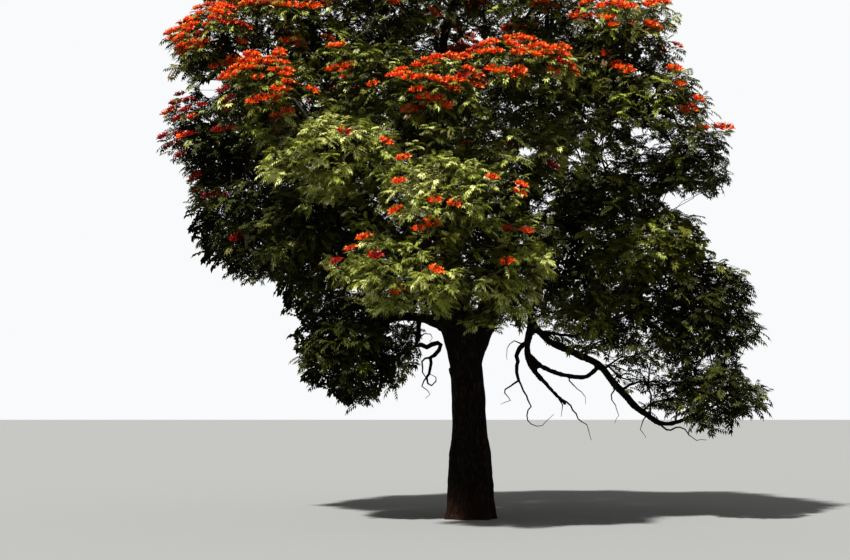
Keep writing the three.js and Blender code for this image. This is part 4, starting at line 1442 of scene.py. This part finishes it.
def ramp(tree, value, stops):
    """A colour ramp through (place, colour) stops."""
    node = add_node(tree, "ShaderNodeValToRGB", {"Fac": value})
    elements = node.color_ramp.elements
    while len(elements) < len(stops):
        elements.new(0.5)
    for element, (place, colour) in zip(elements, stops):
        element.position = place
        element.color = (*colour, 1)
    return node.outputs["Color"]


def mixed(tree, share, first, second):
    """A socket's colour mixed by a share with a plain colour."""
    node = add_node(tree, "ShaderNodeMix", {}, data_type="RGBA")
    tree.links.new(share, node.inputs["Factor"])
    tree.links.new(first, node.inputs[6])
    node.inputs[7].default_value = (*second, 1)
    return node.outputs[2]


def map_range(tree, value, low, high, to_low=0.0, to_high=1.0):
    return add_node(tree, "ShaderNodeMapRange", {
        "Value": value, "From Min": low, "From Max": high, "To Min": to_low, "To Max": to_high}).outputs[0]


def grain_group():
    """A pattern that runs along a limb: streaks, cracks between plates, patches and a relief."""
    group = bpy.data.node_groups.new("bark_grain", "ShaderNodeTree")
    sockets = group.interface
    sockets.new_socket("Place", in_out="INPUT", socket_type="NodeSocketVector")
    for name, width in zip(("Streak Width", "Crack Width"), STEM_GRAIN):
        sockets.new_socket(name, in_out="INPUT", socket_type="NodeSocketFloat").default_value = width
    for name in ("Streaks", "Cracks", "Patches", "Relief"):
        sockets.new_socket(name, in_out="OUTPUT", socket_type="NodeSocketFloat")
    came = group.nodes.new("NodeGroupInput").outputs

    def stretched(width, lengthen):
        """The place divided by a width, and drawn out along the limb."""
        shrink = add_node(group, "ShaderNodeMath", {0: 1, 1: came[width]}, operation="DIVIDE")
        scale = add_node(group, "ShaderNodeVectorMath", {0: came["Place"], "Scale": shrink.outputs[0]},
                         operation="SCALE")
        return add_node(group, "ShaderNodeVectorMath", {0: scale.outputs[0], 1: (1, 1, 1 / lengthen)},
                        operation="MULTIPLY").outputs[0]

    def cloudy(place, scale, detail):
        return add_node(group, "ShaderNodeTexNoise", {
            "Vector": place, "Scale": scale, "Detail": detail[0], "Roughness": detail[1]}).outputs

    streaks = cloudy(stretched("Streak Width", STREAK_STRETCH), 1, STREAK_DETAIL)
    wobble = add_node(group, "ShaderNodeVectorMath", {
        0: streaks["Color"], 1: [CRACK_WOBBLE] * 3, 2: stretched("Crack Width", CRACK_STRETCH)},
        operation="MULTIPLY_ADD")
    plates = add_node(group, "ShaderNodeTexVoronoi", {"Vector": wobble.outputs[0], "Scale": 1},
                      feature="DISTANCE_TO_EDGE")
    cracks = map_range(group, plates.outputs["Distance"], 0, CRACK_EDGE, 1, 0)
    patches = cloudy(came["Place"], PATCHES_PER_METRE, PATCH_DETAIL)
    height = add_node(group, "ShaderNodeMath", {0: streaks["Fac"], 1: cracks}, operation="SUBTRACT")
    add_node(group, "NodeGroupOutput", {
        "Streaks": streaks["Fac"], "Cracks": cracks, "Patches": patches["Fac"], "Relief": height.outputs[0]})
    return group


def bark_material(name, group, streak_width, crack_width, bump):
    """Near-black brown bark, partly its own colour and partly painted shade of the crown: paler streaks on
    the ribs, dark cracks, grey lichen, and a reddish foot.
    """
    material = bpy.data.materials.new(name)
    material.use_nodes = True
    tree = material.node_tree
    shader = tree.nodes["Principled BSDF"]
    place = add_node(tree, "ShaderNodeAttribute", {}, attribute_name="grain")
    grain = add_node(tree, "ShaderNodeGroup", {}, node_tree=group)
    grain.inputs["Streak Width"].default_value = streak_width
    grain.inputs["Crack Width"].default_value = crack_width
    tree.links.new(place.outputs["Vector"], grain.inputs["Place"])
    streaks = grain.outputs["Streaks"]
    cracked = mixed(tree, grain.outputs["Cracks"], ramp(tree, streaks, STREAK_COLOURS), CRACK_COLOUR)
    grey = mixed(tree, map_range(tree, grain.outputs["Patches"], *LICHEN_RANGE), cracked, LICHEN_COLOUR)
    where = tree.nodes.new("ShaderNodeNewGeometry")
    split = add_node(tree, "ShaderNodeSeparateXYZ", {0: where.outputs["Position"]})
    warm = mixed(tree, map_range(tree, split.outputs["Z"], *FOOT_RANGE), grey, FOOT_COLOUR)
    tree.links.new(warm, shader.inputs["Base Color"])
    tree.links.new(map_range(tree, streaks, *ROUGH_RANGE), shader.inputs["Roughness"])
    stand = add_node(tree, "ShaderNodeBump", {
        "Strength": BUMP_STRENGTH, "Distance": bump, "Height": grain.outputs["Relief"]})
    tree.links.new(stand.outputs["Normal"], shader.inputs["Normal"])
    shader.inputs["Specular IOR Level"].default_value = BARK_GLOSS
    return material


# Light and ground

SUN_FROM = (-0.42, -0.52, 0.95)  # where the sun stands, from the tree
SUN_STRENGTH, SUN_SPREAD = 6.3, math.radians(3)
SKY_COLOUR = (0.90, 0.91, 0.92)
SKY_SEEN, SKY_LIGHT = 0.88, 0.36  # the sky's brightness behind the tree, and as light on it
GROUND_SIZE = 900.0


def light_the_scene():
    world = bpy.data.worlds.new("sky")
    world.use_nodes = True
    background = world.node_tree.nodes["Background"]
    background.inputs["Color"].default_value = (*SKY_COLOUR, 1)
    ray = world.node_tree.nodes.new("ShaderNodeLightPath")
    strength = map_range(world.node_tree, ray.outputs["Is Camera Ray"], 0, 1, SKY_LIGHT, SKY_SEEN)
    world.node_tree.links.new(strength, background.inputs["Strength"])
    bpy.context.scene.world = world
    data = bpy.data.lights.new("sun", "SUN")
    data.energy = SUN_STRENGTH
    data.angle = SUN_SPREAD
    sun = bpy.data.objects.new("sun", data)
    sun.rotation_euler = Vector(SUN_FROM).to_track_quat("Z", "Y").to_euler()
    bpy.context.scene.collection.objects.link(sun)
    bpy.context.scene.view_settings.view_transform = "Standard"
    bpy.context.scene.view_settings.look = "Medium High Contrast"


def lay_ground():
    half = GROUND_SIZE / 2
    material = plain_material("plain_ground", *GROUND_LOOK)
    ground = mesh_object("ground", [(-half, -half, 0), (half, -half, 0), (half, half, 0), (-half, half, 0)],
                         [(0, 1, 2), (0, 2, 3)], [material])


# The tree

def branching_to(sprays):
    """All the twigs' joints: places, parents, radii, thickest children, and the joint at each spray."""
    branching = start_on_limbs()
    starts = len(branching.places)
    reached = grow(branching, np.array(sprays.places))
    grown = len(branching.places)
    loads, bearing = add_low_twigs(branching, sprays)
    own = np.zeros(len(branching.places))
    own[reached] = 1
    for joint, load in loads.items():
        own[joint] = load
    reached = np.concatenate([reached, np.array(bearing, int)])
    parents = np.array(branching.parents)
    fixed = parents < 0
    fixed[:starts] = True
    fixed[grown:] = True
    fixed[reached] = True
    places = eased(np.array(branching.places), parents, fixed)
    places[~fixed] += rng.normal(0, CROOKED, (int((~fixed).sum()), 3))
    radii, main = pipe_radii(parents, branching.limits, own)
    return places, parents, radii, main, reached


def twig_pieces(places, parents, radii, main, bark, twig):
    runs = np.zeros(len(places))
    for i, parent in enumerate(parents):
        if parent >= 0:
            runs[i] = runs[parent] + np.linalg.norm(places[i] - places[parent])
    limits, counts = zip(*TUBE_SIDES)
    sides_of = np.array(counts)[np.searchsorted(limits, radii, side="right") - 1]
    twigs, branches = Batch(), Batch()
    for sides in counts:
        points, faces, grain = twig_tubes(places, parents, radii, main, runs, sides, sides_of)
        batch = branches if sides == counts[-1] else twigs
        batch.add(points, faces, np.zeros(len(faces), int))
    hand_over(twigs.piece("twigs", [twig]))
    piece = branches.piece("branches", [bark])
    piece.data.shade_smooth()
    mark_grain(piece.data, grain)
    hand_over(piece)


def build_tree():
    grain = grain_group()
    bark_piece(bark_material("bark", grain, *STEM_GRAIN))
    crown = Crown()
    sprays = Sprays()
    add_seen_heads(crown, sprays)
    add_clumped_sprays(crown, sprays)
    add_bridging_sprays(crown, sprays)
    add_filling_sprays(crown, sprays)
    add_inner_sprays(crown, sprays)
    add_closing_sprays(crown, sprays)
    places, parents, radii, main, reached = branching_to(sprays)
    twig_pieces(places, parents, radii, main, bark_material("branch_bark", grain, *BRANCH_GRAIN),
                plain_material("twig", *TWIG_LOOK))
    twig_ways = unit(places[reached] - places[parents[reached]])
    leaf_pieces(sprays, twig_ways, [plain_material(name, *tint) for name, tint in LEAF_TINTS.items()])
    blossom_pieces(sprays, twig_ways, [plain_material(name, *tint) for name, tint in PETAL_TINTS.items()])


place_camera()
light_the_scene()
lay_ground()
build_tree()
